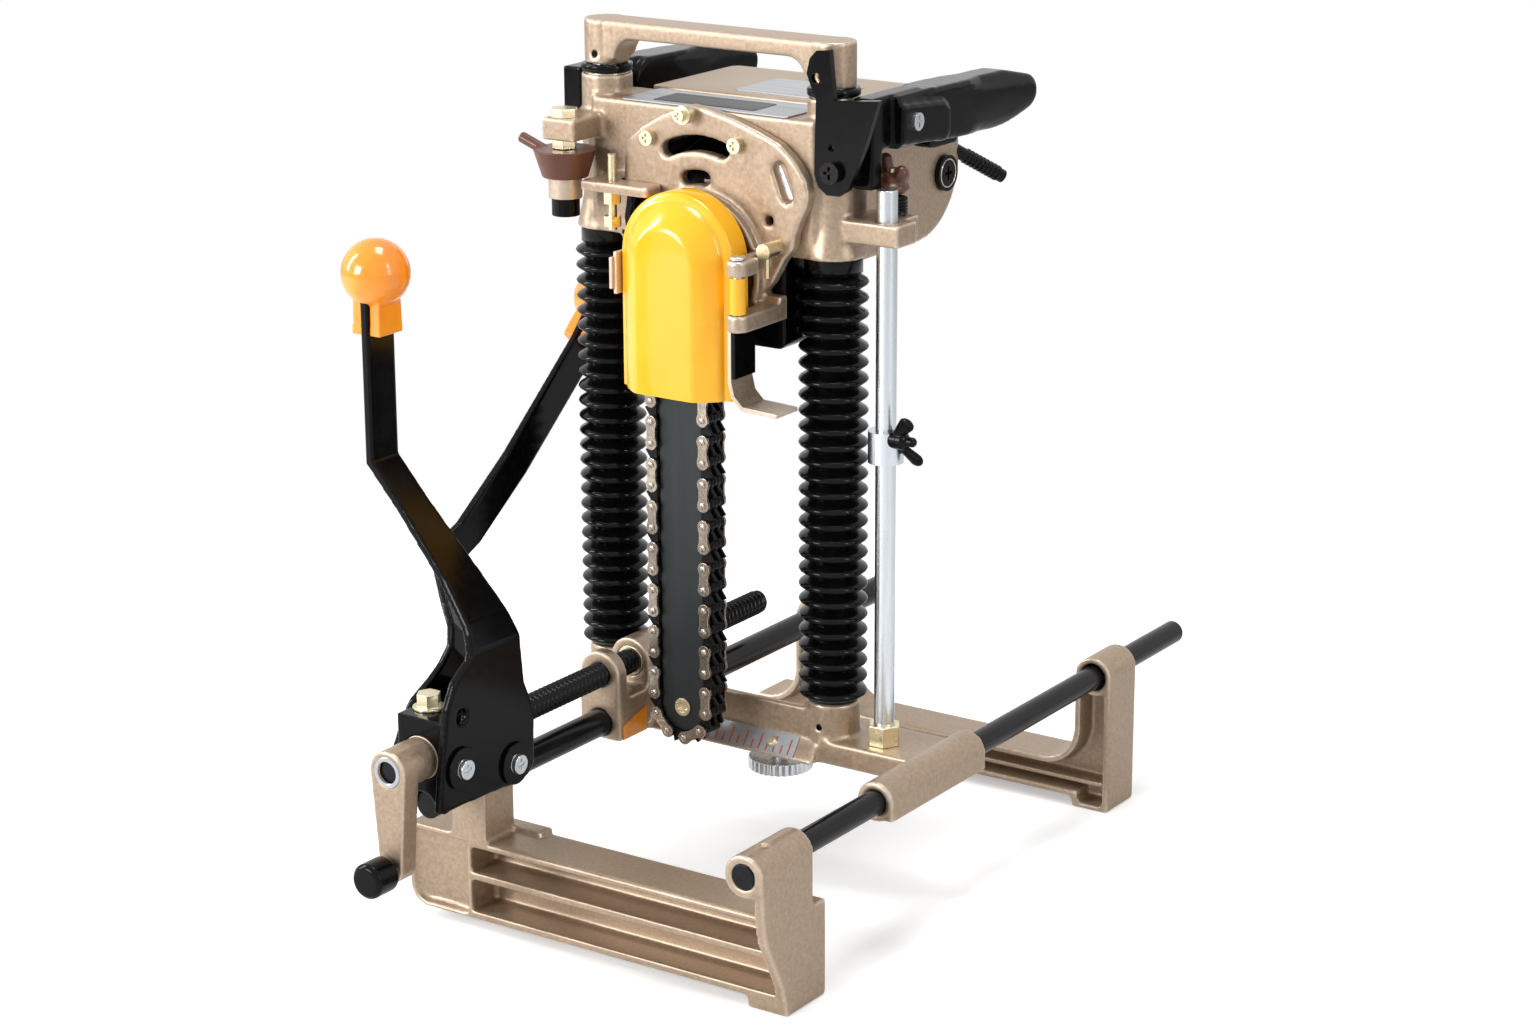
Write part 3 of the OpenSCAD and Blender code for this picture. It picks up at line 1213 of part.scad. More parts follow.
module grip_screws() {
    color(zinc) {
        translate([right_x, 0, 0]) grip_screw();
        translate([left_x, 0, 0]) mirror([1, 0, 0]) grip_screw();
    }
}
// Switch trigger under the right grip
module trigger() {
    x = right_x + grip_c;
    color(plate_grey) band_along_x(x - 6, x + 6, [
        [grip_y0 + 36, grip_z - 16], [grip_y0 + 58, grip_z - 17]
    ], [5, 4.5]);
}
// Short guard at the cord's outlet in the housing's rear wall
module guard_place() {
    translate(guard_at) rotate([0, 120, 59]) children();
}
module cord_guard() {
    ribs = 9;
    color(gloss_black) guard_place() difference() {
        union() {
            translate([0, 0, -4]) cylinder(d = 8, h = 43);
            for (i = [0 : ribs - 1]) translate([0, 0, 10 + i * 2.9]) cylinder(d = 9.2, h = 1.6);
        }
        translate([0, 0, -5]) cylinder(d = 5, h = 60);
    }
}

// Transport catch plate in front of the right sleeve
module catch_plate() {
    color(plate_grey) difference() {
        outline_along_y(catch_y, catch_y + 4) translate(catch_c) polygon([
            [-2.5, 66], [0.6, 38.6], [29, 41.3], [20.8, 16.6], [13, -2], [10, -9], [4, -13], [-4, -13],
            [-9.5, -9], [-12, -2], [-11, 38], [-17, 52], [-15, 60.5], [-10.7, 65]
        ]);
        bar_along_y(6 + 2 * run, catch_y - 1, catch_y + 5, catch_c[0], catch_c[1]);
        bar_along_y(6, catch_y - 1, catch_y + 5, catch_c[0] - 11, catch_c[1] + 50);
        bar_along_y(4, catch_y - 1, catch_y + 5, catch_c[0] - 1, catch_c[1] + 13);
    }
}
// Left lock: a bolt in the casting's arm, with a copper coloured lever collar under it
collar_top = arm_z0 - 5.5;
module left_lock_bolt() {
    color(brass) {
        hexagon(14, arm_z1, arm_z1 + 5, lock_x, lock_y);
        bar_along_z(8, collar_top - 26, arm_z1 + 1, lock_x, lock_y);
        hexagon(13, collar_top + gap, arm_z0, lock_x, lock_y);
        bar_along_z(19, collar_top - 28, collar_top - 16 - gap, lock_x, lock_y);
        bar_along_z(16, collar_top - 38, collar_top - 27, lock_x, lock_y);
    }
}
module left_lock_lever() {
    color(copper) {
        difference() {
            translate([lock_x, lock_y, collar_top - 16]) cylinder(d1 = 26, d2 = 36, h = 16);
            bar_along_z(8 + 2 * run, collar_top - 17, collar_top + 1, lock_x, lock_y);
        }
        translate([lock_x - 10, lock_y, collar_top - 4]) rotate([0, -70, 0]) cylinder(d = 6.4, h = 22);
    }
}
// Right lock: a lever nut with two lobes over a coil spring behind the stop rod
lock_spring_wire = 2;
lock_spring_turns = 5;
lock_nut_z = lug_z1 + 12;
module lock_spring() {
    color(gloss_black) translate([lock2_x, lock2_y, 0])
        coil(15, lock_spring_wire, lock_spring_turns, lug_z1 + gap, lock_nut_z - gap);
}
echo(least_gap_between_lock_spring_turns = (12 - 2 * gap - 2) / lock_spring_turns - lock_spring_wire);
module right_lock_lever() {
    color(copper) difference() {
        union() {
            bar_along_z(19, lock_nut_z, lock_nut_z + 7, lock2_x, lock2_y);
            translate([lock2_x, lock2_y, lock_nut_z + 6]) for (s = [-1, 1]) rotate([0, s * 24, 0]) {
                translate([s * 3, 0, 0]) cylinder(d = 9, h = 7);
                translate([s * 3, 0, 7]) sphere(d = 9);
            }
        }
        bar_along_z(6 + 2 * run, lock_nut_z - 1, lock_nut_z + 30, lock2_x, lock2_y);
    }
}

front_jaw();
right_guide_rod();
left_guide_rod();
frame_screws();
lever_bracket();
crank_bush();
front_lever();
front_lever_knob();
lever_pivots();
rear_lever();
rear_lever_knob();
rear_jaw();
feed_screw();
crank_arm();
crank_knob();
carriage_base();
feed_nut();
columns();
left_spring();
right_spring();
left_bellows();
right_bellows();
bumper_rings();
carry_handle();
column_pins();
stop_rod();
stop_rod_nut();
scale_plate();
scale_screw();
plate_lock_knob();
stop_collar();
stop_wing_screw();
head_casting();
head_bushes();
gear_cover();
head_screws();
spindle();
drive_gear();
armature();
stator();
motor_housing();
brush_caps();
guide_bar();
chain();
nose_bearing();
chip_deflector();
chip_guide();
chain_cover();
cover_hinge_pin();
cover_thumb_screw();
left_grip();
right_grip();
grip_screws();
trigger();
cord_guard();
catch_plate();
left_lock_bolt();
left_lock_lever();
lock_spring();
right_lock_lever();
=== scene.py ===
"""The looks of a chain mortiser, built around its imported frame."""

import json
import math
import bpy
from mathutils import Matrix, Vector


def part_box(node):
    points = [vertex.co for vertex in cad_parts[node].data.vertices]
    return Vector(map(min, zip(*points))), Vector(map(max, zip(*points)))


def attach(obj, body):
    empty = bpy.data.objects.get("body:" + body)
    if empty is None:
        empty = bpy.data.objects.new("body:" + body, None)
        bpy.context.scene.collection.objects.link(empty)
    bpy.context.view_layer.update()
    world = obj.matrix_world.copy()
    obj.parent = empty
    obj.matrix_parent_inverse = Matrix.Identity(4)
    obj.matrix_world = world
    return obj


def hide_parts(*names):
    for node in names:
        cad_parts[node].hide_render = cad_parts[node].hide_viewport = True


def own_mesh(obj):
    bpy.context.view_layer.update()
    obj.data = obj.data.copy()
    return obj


bl_info = {
    "name": "Chain mortiser",
    "version": (1, 0, 0),
    "blender": (4, 5, 0),
    "location": "3D View > Sidebar > Mortiser",
    "description": "Dresses the packed frame of a chain mortiser and sets its stage",
    "category": "Add Mesh",
}

import bmesh
import bpy
from bpy.props import FloatProperty, FloatVectorProperty, IntProperty, PointerProperty
from mathutils.bvhtree import BVHTree
from mathutils import Matrix, Vector

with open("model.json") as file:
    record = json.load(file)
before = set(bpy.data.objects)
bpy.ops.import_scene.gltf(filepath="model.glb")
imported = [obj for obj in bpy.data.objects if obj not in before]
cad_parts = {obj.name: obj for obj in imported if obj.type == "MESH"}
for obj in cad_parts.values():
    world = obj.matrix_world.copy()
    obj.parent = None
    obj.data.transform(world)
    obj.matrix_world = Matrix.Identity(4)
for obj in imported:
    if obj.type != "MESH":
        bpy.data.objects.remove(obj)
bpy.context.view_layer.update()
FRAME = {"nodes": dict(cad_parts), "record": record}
NODES = FRAME["nodes"]
BODIES = FRAME["record"]["behaviour"]["bodies"]
BODY_OF = {node: body for body, names in BODIES.items() for node in names}
SLOT_OF = {row["node"]: row["material_slot"] for row in FRAME["record"]["subparts"]}
MM = 0.001


def colour(code):
    """An sRGB hex value as linear red, green, blue and alpha."""
    parts = [int(code[i : i + 2], 16) / 255 for i in (1, 3, 5)]
    return [p / 12.92 if p <= 0.04045 else ((p + 0.055) / 1.055) ** 2.4 for p in parts] + [1.0]


def swatch(name, description, code):
    """A colour that the panel shows."""
    return FloatVectorProperty(
        name=name, description=description, subtype="COLOR", size=4, min=0, max=1, default=colour(code)
    )


class MortiserColours(bpy.types.PropertyGroup):
    """Colours of the machine's finishes."""

    casting: swatch("Casting paint", "Bronze enamel on the castings", "#B29D88")
    casting_light: swatch("Casting paint, edges", "The same enamel where edges catch the light", "#E3D4C2")
    casting_dark: swatch("Casting paint, hollows", "The same enamel in its darker spots", "#9D8872")
    enamel: swatch("Black enamel", "Levers, bracket and plates", "#060607")
    rod: swatch("Blackened steel", "Guide rods and feed screw", "#0C0D0F")
    cover: swatch("Cover", "Yellow moulded chain cover", "#FAB408")
    knob: swatch("Lever knobs", "Orange lever knobs", "#FB8B14")
    zinc: swatch("Zinc plating", "Stop rod, columns and collars", "#DFE4E9")
    brass: swatch("Brass", "Nuts, bushes and cover screws", "#EBE2C6")
    copper: swatch("Brown enamel", "Lock levers", "#5E3324")
    chain: swatch("Chain steel", "Oiled links of the chain", "#C6BAAC")
    rubber: swatch("Rubber", "Bellows and rings", "#060607")
    plastic: swatch("Black plastic", "Grips, trigger and caps", "#070708")
    plate: swatch("Bare plate", "Brushed plates and the ruler", "#B9BBBF")
    ink: swatch("Printing ink", "The ruler's ticks", "#C4432F")
    winding: swatch("Winding", "Enamelled wire of the motor", "#8A4A26")


def length(name, description, millimetres, least=0.0):
    """A length that the panel shows."""
    return FloatProperty(
        name=name, description=description, default=millimetres * MM, min=least * MM, unit="LENGTH"
    )


class MortiserSizes(bpy.types.PropertyGroup):
    """Sizes of details that the frame leaves to the looks."""

    cast_voxel: length("Casting detail", "Least detail kept when a casting's edges are rounded", 1.3, 0.6)
    cast_rounding: IntProperty(
        name="Casting rounding", description="Rounds of smoothing on a casting's edges", default=5, min=1
    )
    keep_share: FloatProperty(
        name="Kept faces", description="Share of a casting's faces that is kept", default=0.3, min=0.05,
        subtype="FACTOR",
    )
    edge: length("Turned edge", "Chamfer on turned and cut pieces", 0.5)
    bellows_ribs: IntProperty(name="Bellows ribs", description="Ribs on each bellows", default=27, min=8)
    bellows_valley: length("Rib depth", "From a rib's tip to the valley", 5.6)
    bellows_collar: length("Bellows collar", "Plain band at the top", 9)
    thread_pitch: length("Thread pitch", "Pitch of the feed screw", 4, 1)
    thread_depth: length("Thread depth", "Depth of the feed screw's thread", 1.6)


def palette():
    return bpy.context.scene.mortiser_colours


def sizes():
    return bpy.context.scene.mortiser_sizes


def add(tree, kind, inputs=None, **settings):
    """Adds a shader node. An input is a value, or a pair of a node and the name of its output."""
    made = tree.nodes.new("ShaderNode" + kind)
    for key, value in settings.items():
        setattr(made, key, value)
    for key, value in (inputs or {}).items():
        if isinstance(value, tuple) and isinstance(value[0], bpy.types.Node):
            tree.links.new(value[0].outputs[value[1]], made.inputs[key])
        else:
            made.inputs[key].default_value = value
    return made


def bare_tree(owner):
    """The node tree of a material or a world, emptied."""
    owner.use_nodes = True
    owner.node_tree.nodes.clear()
    return owner.node_tree


def mix(name, tones, spot_mm, grain_mm, grain_height_mm, rough, stretch=(1, 1, 1), edge_highlight=None, **sockets):
    """A finish of two near tones in spots, a roughness that wanders with them, and a fine relief.

    Sizes are those of the real surface, in millimetres."""
    tree = bare_tree(bpy.data.materials.new(name))
    place = add(tree, "TexCoord")
    mapping = add(tree, "Mapping", {"Vector": (place, "Object"), "Scale": stretch})
    spots = add(
        tree, "TexNoise",
        {"Vector": (mapping, "Vector"), "Scale": 1 / (spot_mm * MM), "Detail": 3.0, "Roughness": 0.6},
    )
    spread = {"Value": (spots, "Fac"), "From Min": 0.3, "From Max": 0.7}
    even = add(tree, "MapRange", spread)
    first, second = [colour(tone) if isinstance(tone, str) else tone for tone in tones]
    base = add(tree, "Mix", {"Factor": (even, "Result"), 6: first, 7: second}, data_type="RGBA")
    # Sharp edges, found by their pointiness, take a paler tone: a painted highlight
    if edge_highlight:
        form = add(tree, "NewGeometry")
        edge = add(
            tree, "MapRange",
            {"Value": (form, "Pointiness"), "From Min": 0.515, "From Max": 0.57, "To Max": 0.75},
        )
        base = add(tree, "Mix", {"Factor": (edge, "Result"), 6: (base, 2), 7: edge_highlight}, data_type="RGBA")
    polish = add(tree, "MapRange", {**spread, "To Min": rough[0], "To Max": rough[1]})
    grain = add(
        tree, "TexNoise",
        {"Vector": (mapping, "Vector"), "Scale": 1 / (grain_mm * MM), "Detail": 2.0},
    )
    relief = add(
        tree, "Bump",
        {"Height": (grain, "Fac"), "Distance": grain_height_mm * MM, "Strength": 1.0},
    )
    shader = add(
        tree, "BsdfPrincipled",
        {"Base Color": (base, 2), "Roughness": (polish, "Result"), "Normal": (relief, "Normal"), **sockets},
    )
    add(tree, "OutputMaterial", {"Surface": (shader, "BSDF")})


# Finish of each node that is shown, by its slot in the record
FINISH_OF_SLOT = {
    "bronze_paint": "enamelled_sand_cast_aluminium",
    "black_steel": "stoved_black_enamel_on_steel",
    "grey_steel": "stoved_black_enamel_on_steel",
    "zinc": "bright_zinc_plated_steel",
    "brass": "turned_brass",
    "copper_brown": "brown_enamel_on_steel",
    "orange_plastic": "moulded_phenolic_resin",
    "yellow_plastic": "moulded_yellow_abs",
    "steel": "oiled_chain_steel",
    "black_rubber": "moulded_neoprene",
    "black_plastic": "grained_black_nylon",
    "copper": "enamelled_copper_winding",
}
# Nodes whose finish isn't their slot's usual one
FINISH_OF_NODE = {
    "right_guide_rod": "blackened_ground_steel",
    "left_guide_rod": "blackened_ground_steel",
    "feed_screw": "blackened_ground_steel",
    "scale_plate": "brushed_aluminium_plate",
    "guide_bar": "phosphated_bar_steel",
    "plate_lock_knob": "bright_zinc_plated_steel",
}


def finish_for(node):
    return FINISH_OF_NODE.get(node) or FINISH_OF_SLOT[SLOT_OF[node]]


def new_object(name, mesh):
    """A named object in the row frame."""
    made = bpy.data.objects.new(name, mesh)
    bpy.context.scene.collection.objects.link(made)
    return made


def from_bmesh(name, work):
    """Turns a bmesh into a named object, and frees it."""
    bmesh.ops.recalc_face_normals(work, faces=work.faces)
    mesh = bpy.data.meshes.new(name)
    work.to_mesh(mesh)
    work.free()
    return new_object(name, mesh)


def settle(piece):
    """Applies a piece's modifiers to its mesh."""
    graph = bpy.context.evaluated_depsgraph_get()
    mesh = bpy.data.meshes.new_from_object(piece.evaluated_get(graph))
    piece.modifiers.clear()
    piece.data = mesh
    return piece


def shade(piece, degrees):
    """Smooth faces, with a crease where they meet at more than this angle."""
    piece.data.shade_smooth()
    piece.data.set_sharp_from_angle(angle=math.radians(degrees))
    return piece


def put_on(piece, body, finish, slot):
    """Gives a piece its finish and the body it moves with. The slot is not used."""
    piece.data.materials.clear()
    piece.data.materials.append(bpy.data.materials[finish])
    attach(piece, body)
    return piece


def stand_for(piece, node):
    """The piece takes a node's place, finish and body."""
    put_on(piece, BODY_OF[node], finish_for(node), SLOT_OF[node])
    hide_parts(node)
    return piece


def copy_of(node):
    """A node's mesh as a new object, with its seams closed and its flat faces whole."""
    work = bmesh.new()
    work.from_mesh(NODES[node].data)
    bmesh.ops.remove_doubles(work, verts=work.verts, dist=0.002 * MM)
    bmesh.ops.dissolve_limit(
        work, angle_limit=math.radians(0.4), verts=work.verts, edges=work.edges,
        use_dissolve_boundaries=False,
    )
    return from_bmesh(node + "_piece", work)


def extent(node):
    """A node's lowest and highest corners, and its middle."""
    low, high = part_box(node)
    return low, high, (low + high) / 2


def melted(piece, voxel, rounds, keep=1.0):
    """Runs a piece's masses into one smoothed skin, and keeps a share of its faces."""
    remesh = piece.modifiers.new("skin", "REMESH")
    remesh.mode = "VOXEL"
    remesh.voxel_size = voxel
    smooth = piece.modifiers.new("round", "SMOOTH")
    smooth.factor = 0.5
    smooth.iterations = rounds
    if keep < 1:
        piece.modifiers.new("fewer", "DECIMATE").ratio = keep
    settle(piece)
    piece.data.shade_smooth()
    return piece


def weighted(piece, keep_sharp):
    """Shades flat faces flat, so that only the narrow edges between them bend the light."""
    piece.modifiers.new("flats", "WEIGHTED_NORMAL").keep_sharp = keep_sharp
    return settle(piece)


def cast(node, voxel=None, rounding=None, keep=None, drawn=None):
    """A casting or moulding: every edge rounded as a sand mould or a die leaves it."""
    size = sizes()
    piece = melted(
        copy_of(node), voxel or size.cast_voxel, rounding or size.cast_rounding, keep or size.keep_share
    )
    if drawn:
        drawn(piece)
    return stand_for(weighted(piece, False), node)


def chamfered(piece, width, segments=2):
    """Breaks a piece's edges, and keeps its flat faces flat."""
    bevel = piece.modifiers.new("edges", "BEVEL")
    bevel.width = width
    bevel.segments = segments
    bevel.limit_method = "ANGLE"
    bevel.angle_limit = math.radians(38)
    settle(piece)
    return weighted(shade(piece, 35), True)


def machined(node, edge=None, crosses=()):
    """A turned or cut piece with broken edges, and with the driver's crosses in its screw heads.

    A cross is its place, the way it faces, and its span, width and depth in millimetres."""
    piece = copy_of(node)
    for cross in crosses:
        cut_cross(piece, *cross)
    return stand_for(chamfered(piece, edge or sizes().edge), node)


def arc(centre, radius, count, step, start=0.0):
    """Places round a centre, a step in degrees apart."""
    turns = [math.radians(start + step * k) for k in range(count)]
    return [(centre[0] + radius * math.cos(a), centre[1] + radius * math.sin(a)) for a in turns]


def skin(work, rings, capped=True):
    """Joins closed rings of corners one after the other, and closes both ends."""
    for before, after in zip(rings, rings[1:]):
        for k, corner in enumerate(before):
            n = (k + 1) % len(before)
            work.faces.new((corner, before[n], after[n], after[k]))
    if capped:
        work.faces.new(rings[0])
        work.faces.new(rings[-1])


def prism(work, outline, low, high, pose=Matrix.Identity(4)):
    """Adds a closed outline in X and Y, drawn up from low to high and set by a pose, to a bmesh."""
    skin(work, [[work.verts.new(pose @ Vector((x, y, z))) for x, y in outline] for z in (low, high)])


def solid(name, *prisms):
    """A piece of closed outlines: each with its low end, its high end and maybe its pose."""
    work = bmesh.new()
    for part in prisms:
        prism(work, *part)
    return from_bmesh(name, work)


def lathe(name, profile, centre, axis, segments):
    """A closed outline of radius and height, turned about an axis through a point."""
    turn = {"X": Matrix.Rotation(math.pi / 2, 4, "Y"), "Y": Matrix.Rotation(-math.pi / 2, 4, "X")}
    pose = Matrix.Translation(centre) @ turn.get(axis, Matrix.Identity(4))
    step = 360 / segments
    work = bmesh.new()
    rings = [
        [work.verts.new(pose @ Vector((x, y, height))) for x, y in arc((0, 0), radius, segments, step)]
        for radius, height in profile
    ]
    skin(work, rings + rings[:1], capped=False)
    bmesh.ops.remove_doubles(work, verts=work.verts, dist=0.001 * MM)
    return from_bmesh(name, work)


def coil(node, wire, turns):
    """A node's wire, wound round its upright middle line, with flat ends."""
    low, high, centre = extent(node)
    radius, rise = (high.x - low.x - wire) / 2, high.z - low.z - wire
    steps, sides = 24, 10
    work = bmesh.new()
    rings = []
    for i in range(turns * steps + 1):
        a = math.tau * i / steps
        z = low.z + wire / 2 + rise * i / (turns * steps)
        rings.append([
            work.verts.new((centre.x + r * math.cos(a), centre.y + r * math.sin(a), height))
            for r, height in arc((radius, z), wire / 2, sides, 360 / sides)
        ])
    skin(work, rings)
    return stand_for(shade(from_bmesh(node + "_piece", work), 60), node)


def facing(axis, place):
    """A pose whose Z runs along an axis from a place."""
    return Matrix.Translation(place) @ Vector(axis).to_track_quat("Z", "Y").to_matrix().to_4x4()


def blob(node, balls, voxel):
    """Rounded masses run together as in a small casting: each a centre, its radii and maybe a turn."""
    work = bmesh.new()
    for centre, radii, *turn in balls:
        pose = Matrix.Translation(centre) @ (turn or [Matrix.Identity(4)])[0] @ Matrix.Diagonal((*radii, 1))
        bmesh.ops.create_icosphere(work, subdivisions=4, radius=1, matrix=pose)
    return stand_for(melted(from_bmesh(node + "_piece", work), voxel, 6), node)


def repaint(piece, finish, chosen):
    """Gives another finish to the faces with all their corners and their middle in a chosen region."""
    piece.data.materials.append(bpy.data.materials[finish])
    index = len(piece.data.materials) - 1
    corners = piece.data.vertices
    for face in piece.data.polygons:
        if chosen(face.center) and all(chosen(corners[v].co) for v in face.vertices):
            face.material_index = index


def cut_cross(piece, centre, axis, span, width, depth):
    """Cuts a screwdriver's cross into a screw head. Its sizes are in millimetres."""
    s, w, d = span * MM / 2, width * MM / 2, depth * MM
    outline = []
    for c, n in ((1, 0), (0, 1), (-1, 0), (0, -1)):
        outline += [(c * x - n * y, n * x + c * y) for x, y in ((s, -w), (s, w), (w, w))]
    cutter = solid("cutter", (outline, -d, d, facing(axis, centre)))
    cut = piece.modifiers.new("recess", "BOOLEAN")
    cut.object = cutter
    cut.solver = "EXACT"
    settle(piece)
    bpy.data.objects.remove(cutter)


def surface_at(node, start, direction):
    """The place where a ray first meets a node."""
    probe = copy_of(node)
    mesh = probe.data
    tree = BVHTree.FromPolygons([v.co for v in mesh.vertices], [f.vertices for f in mesh.polygons])
    bpy.data.objects.remove(probe)
    place = tree.ray_cast(Vector(start), Vector(direction))[0]
    if place is None:
        raise ValueError(f"the ray from {start} meets nothing of {node}")
    return place


class MixFinishes(bpy.types.Operator):
    """Makes the machine's paints, metals, rubbers and plastics"""

    bl_idname = "mortiser.mix_finishes"
    bl_label = "Finishes"

    def execute(self, context):
        c = palette()
        specular, coat, coat_rough = "Specular IOR Level", "Coat Weight", "Coat Roughness"
        # Sand-cast aluminium under a metallic stoving enamel: a soft sheen over a fine orange peel,
        # with a painted highlight on the edges, where they catch the light
        mix(
            "enamelled_sand_cast_aluminium", (c.casting_dark, c.casting), 2.2, 0.9, 0.05, (0.3, 0.44),
            edge_highlight=c.casting_light, Metallic=0.55,
        )
        # Pressed steel under stoved gloss enamel: nearly black, with clear, slightly wavy highlights
        mix(
            "stoved_black_enamel_on_steel", (c.enamel, "#0B0B0D"), 6, 2.4, 0.005, (0.13, 0.2),
            **{specular: 0.13},
        )
        # Ground bar with a hot black oxide: darker than the enamel, with drawn-out reflections
        mix(
            "blackened_ground_steel", (c.rod, "#17181B"), 5, 0.7, 0.003, (0.16, 0.24),
            stretch=(1, 0.12, 1), **{specular: 0.2},
        )
        # Moulded neoprene: deep black, half gloss, with the fine bloom that rubber keeps in its folds
        mix("moulded_neoprene", (c.rubber, "#0D0D0F"), 7, 0.8, 0.006, (0.12, 0.2), **{specular: 0.17})
        # Injection-moulded ABS: a bright, even yellow with a wet-looking skin and faint flow marks
        mix(
            "moulded_yellow_abs", (c.cover, "#FCBA1A"), 30, 3.5, 0.012, (0.2, 0.28),
            **{coat: 0.35, coat_rough: 0.06},
        )
        # Cast phenolic resin: warm orange, polished, with light passing a little way into it
        mix(
            "moulded_phenolic_resin", (c.knob, "#FD9A26"), 14, 2.5, 0.008, (0.18, 0.26),
            **{coat: 0.4, coat_rough: 0.06, "Subsurface Weight": 0.08},
        )
        # Drawn steel with bright zinc: cool, pale, with faint lengthwise streaks
        mix(
            "bright_zinc_plated_steel", (c.zinc, "#D3D9DF"), 3, 0.5, 0.008, (0.2, 0.34),
            stretch=(1, 1, 0.08), Metallic=1.0,
        )
        # Turned brass: pale yellow metal with the fine rings of the tool
        mix(
            "turned_brass", (c.brass, "#D9CBA2"), 2.5, 0.35, 0.01, (0.24, 0.38),
            stretch=(1, 0.3, 1), Metallic=1.0,
        )
        # Brown baked enamel on small steel levers: dark, warm, half gloss
        mix("brown_enamel_on_steel", (c.copper, "#55301F"), 4, 1.2, 0.02, (0.28, 0.42))
        # Hardened steel links under a film of oil: grey brown metal with darker, smoother pools
        mix("oiled_chain_steel", (c.chain, "#97897C"), 2.4, 0.5, 0.01, (0.2, 0.36), Metallic=1.0)
        # Tool steel of the cutters, blued in hardening: nearly black, oily
        mix("blued_cutter_steel", ("#2A2725", "#16151A"), 2, 0.5, 0.01, (0.24, 0.4), Metallic=0.8)
        # Glass-filled nylon from a spark-eroded mould: black with a fine leathery grain
        mix("grained_black_nylon", (c.plastic, "#0D0D0F"), 5, 0.7, 0.006, (0.13, 0.2), **{specular: 0.14})
        # Brushed aluminium sheet: pale grey with fine lines along its length
        mix(
            "brushed_aluminium_plate", (c.plate, "#A9ABB0"), 4, 0.3, 0.006, (0.32, 0.45),
            stretch=(0.06, 1, 1), Metallic=0.85,
        )
        # Orange enamel on a small steel strip: flat colour, a thin gloss
        mix(
            "orange_enamel", ("#F59A12", "#EE8F0C"), 5, 1.2, 0.004, (0.24, 0.34),
            **{coat: 0.2, coat_rough: 0.1},
        )
        # Dark steel of the guide bar: slate black, evenly ground
        mix(
            "phosphated_bar_steel", ("#2E3334", "#25292A"), 8, 0.4, 0.004, (0.32, 0.42),
            stretch=(1, 1, 0.1), Metallic=0.3,
        )
        # Anodised label sheet without print: dark, even, satin
        mix(
            "black_anodised_sheet", ("#1B1B1D", "#242427"), 6, 0.3, 0.004, (0.3, 0.4),
            stretch=(0.06, 1, 1), Metallic=0.6,
        )
        # Screen-printed ink: flat red, a little worn
        mix("screen_printing_ink", (c.ink, "#B03A2A"), 1.5, 0.4, 0.004, (0.5, 0.6))
        # Enamelled copper wire, varnished in its slots: brown gloss with the ridges of the turns
        mix(
            "enamelled_copper_winding", (c.winding, "#5F3219"), 1.5, 0.9, 0.15, (0.25, 0.4),
            stretch=(1, 0.2, 1), Metallic=0.4,
        )
        return {"FINISHED"}


class BuildCastings(bpy.types.Operator):
    """Builds the enamelled castings with rounded edges"""

    bl_idname = "mortiser.build_castings"
    bl_label = "Castings"

    def execute(self, context):
        for node in (
            "front_jaw", "rear_jaw", "carriage_base", "head_casting", "gear_cover", "carry_handle",
            "motor_housing",
        ):
            cast(node)
        cast("crank_arm", 0.9 * MM, 6)
        self.serrated_knob()
        # Painted shade in the gear case's hollows
        self.paint_gear_case_shade()
        return {"FINISHED"}

    def paint_gear_case_shade(self):
        """Paints the gear case black inside, behind the cover's openings, and at its foot: painted shade in
        its hollows.
        """
        spindle, case_radius, half_width = Vector((-8, 376)) * MM, 61 * MM, 55 * MM
        front, back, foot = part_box("gear_cover")[1].y - 9 * MM, 12 * MM, 352 * MM

        def dark(place):
            round_case = (Vector((place.x, place.z)) - spindle).length < case_radius
            slot = 34 * MM < place.x < 55 * MM and 394 * MM < place.z < 424 * MM
            at_foot = place.z < foot and abs(place.x - spindle.x) < half_width
            return front < place.y < back and (round_case or slot) or at_foot

        # Black enamel on the casting here is painted shade, not a colour of the casting
        repaint(bpy.data.objects["head_casting_piece"], "stoved_black_enamel_on_steel", dark)

    def serrated_knob(self):
        """The lock knob under the carriage: a zinc disc with a serrated rim."""
        low, high, centre = extent("plate_lock_knob")
        radius, teeth = (high.x - low.x) / 2, 30
        outline = []
        for k in range(teeth * 4):
            cut = (0, 0.35, 1.1, 0.35)[k % 4] * MM
            outline += arc(centre, radius - cut, 1, 0, k * 90 / teeth)
        rim = low.z + 7 * MM
        hub = arc(centre, 5 * MM, 24, 15)
        piece = solid("plate_lock_knob_piece", (outline, low.z, rim), (hub, rim - 1 * MM, high.z))
        stand_for(chamfered(piece, 0.4 * MM), "plate_lock_knob")


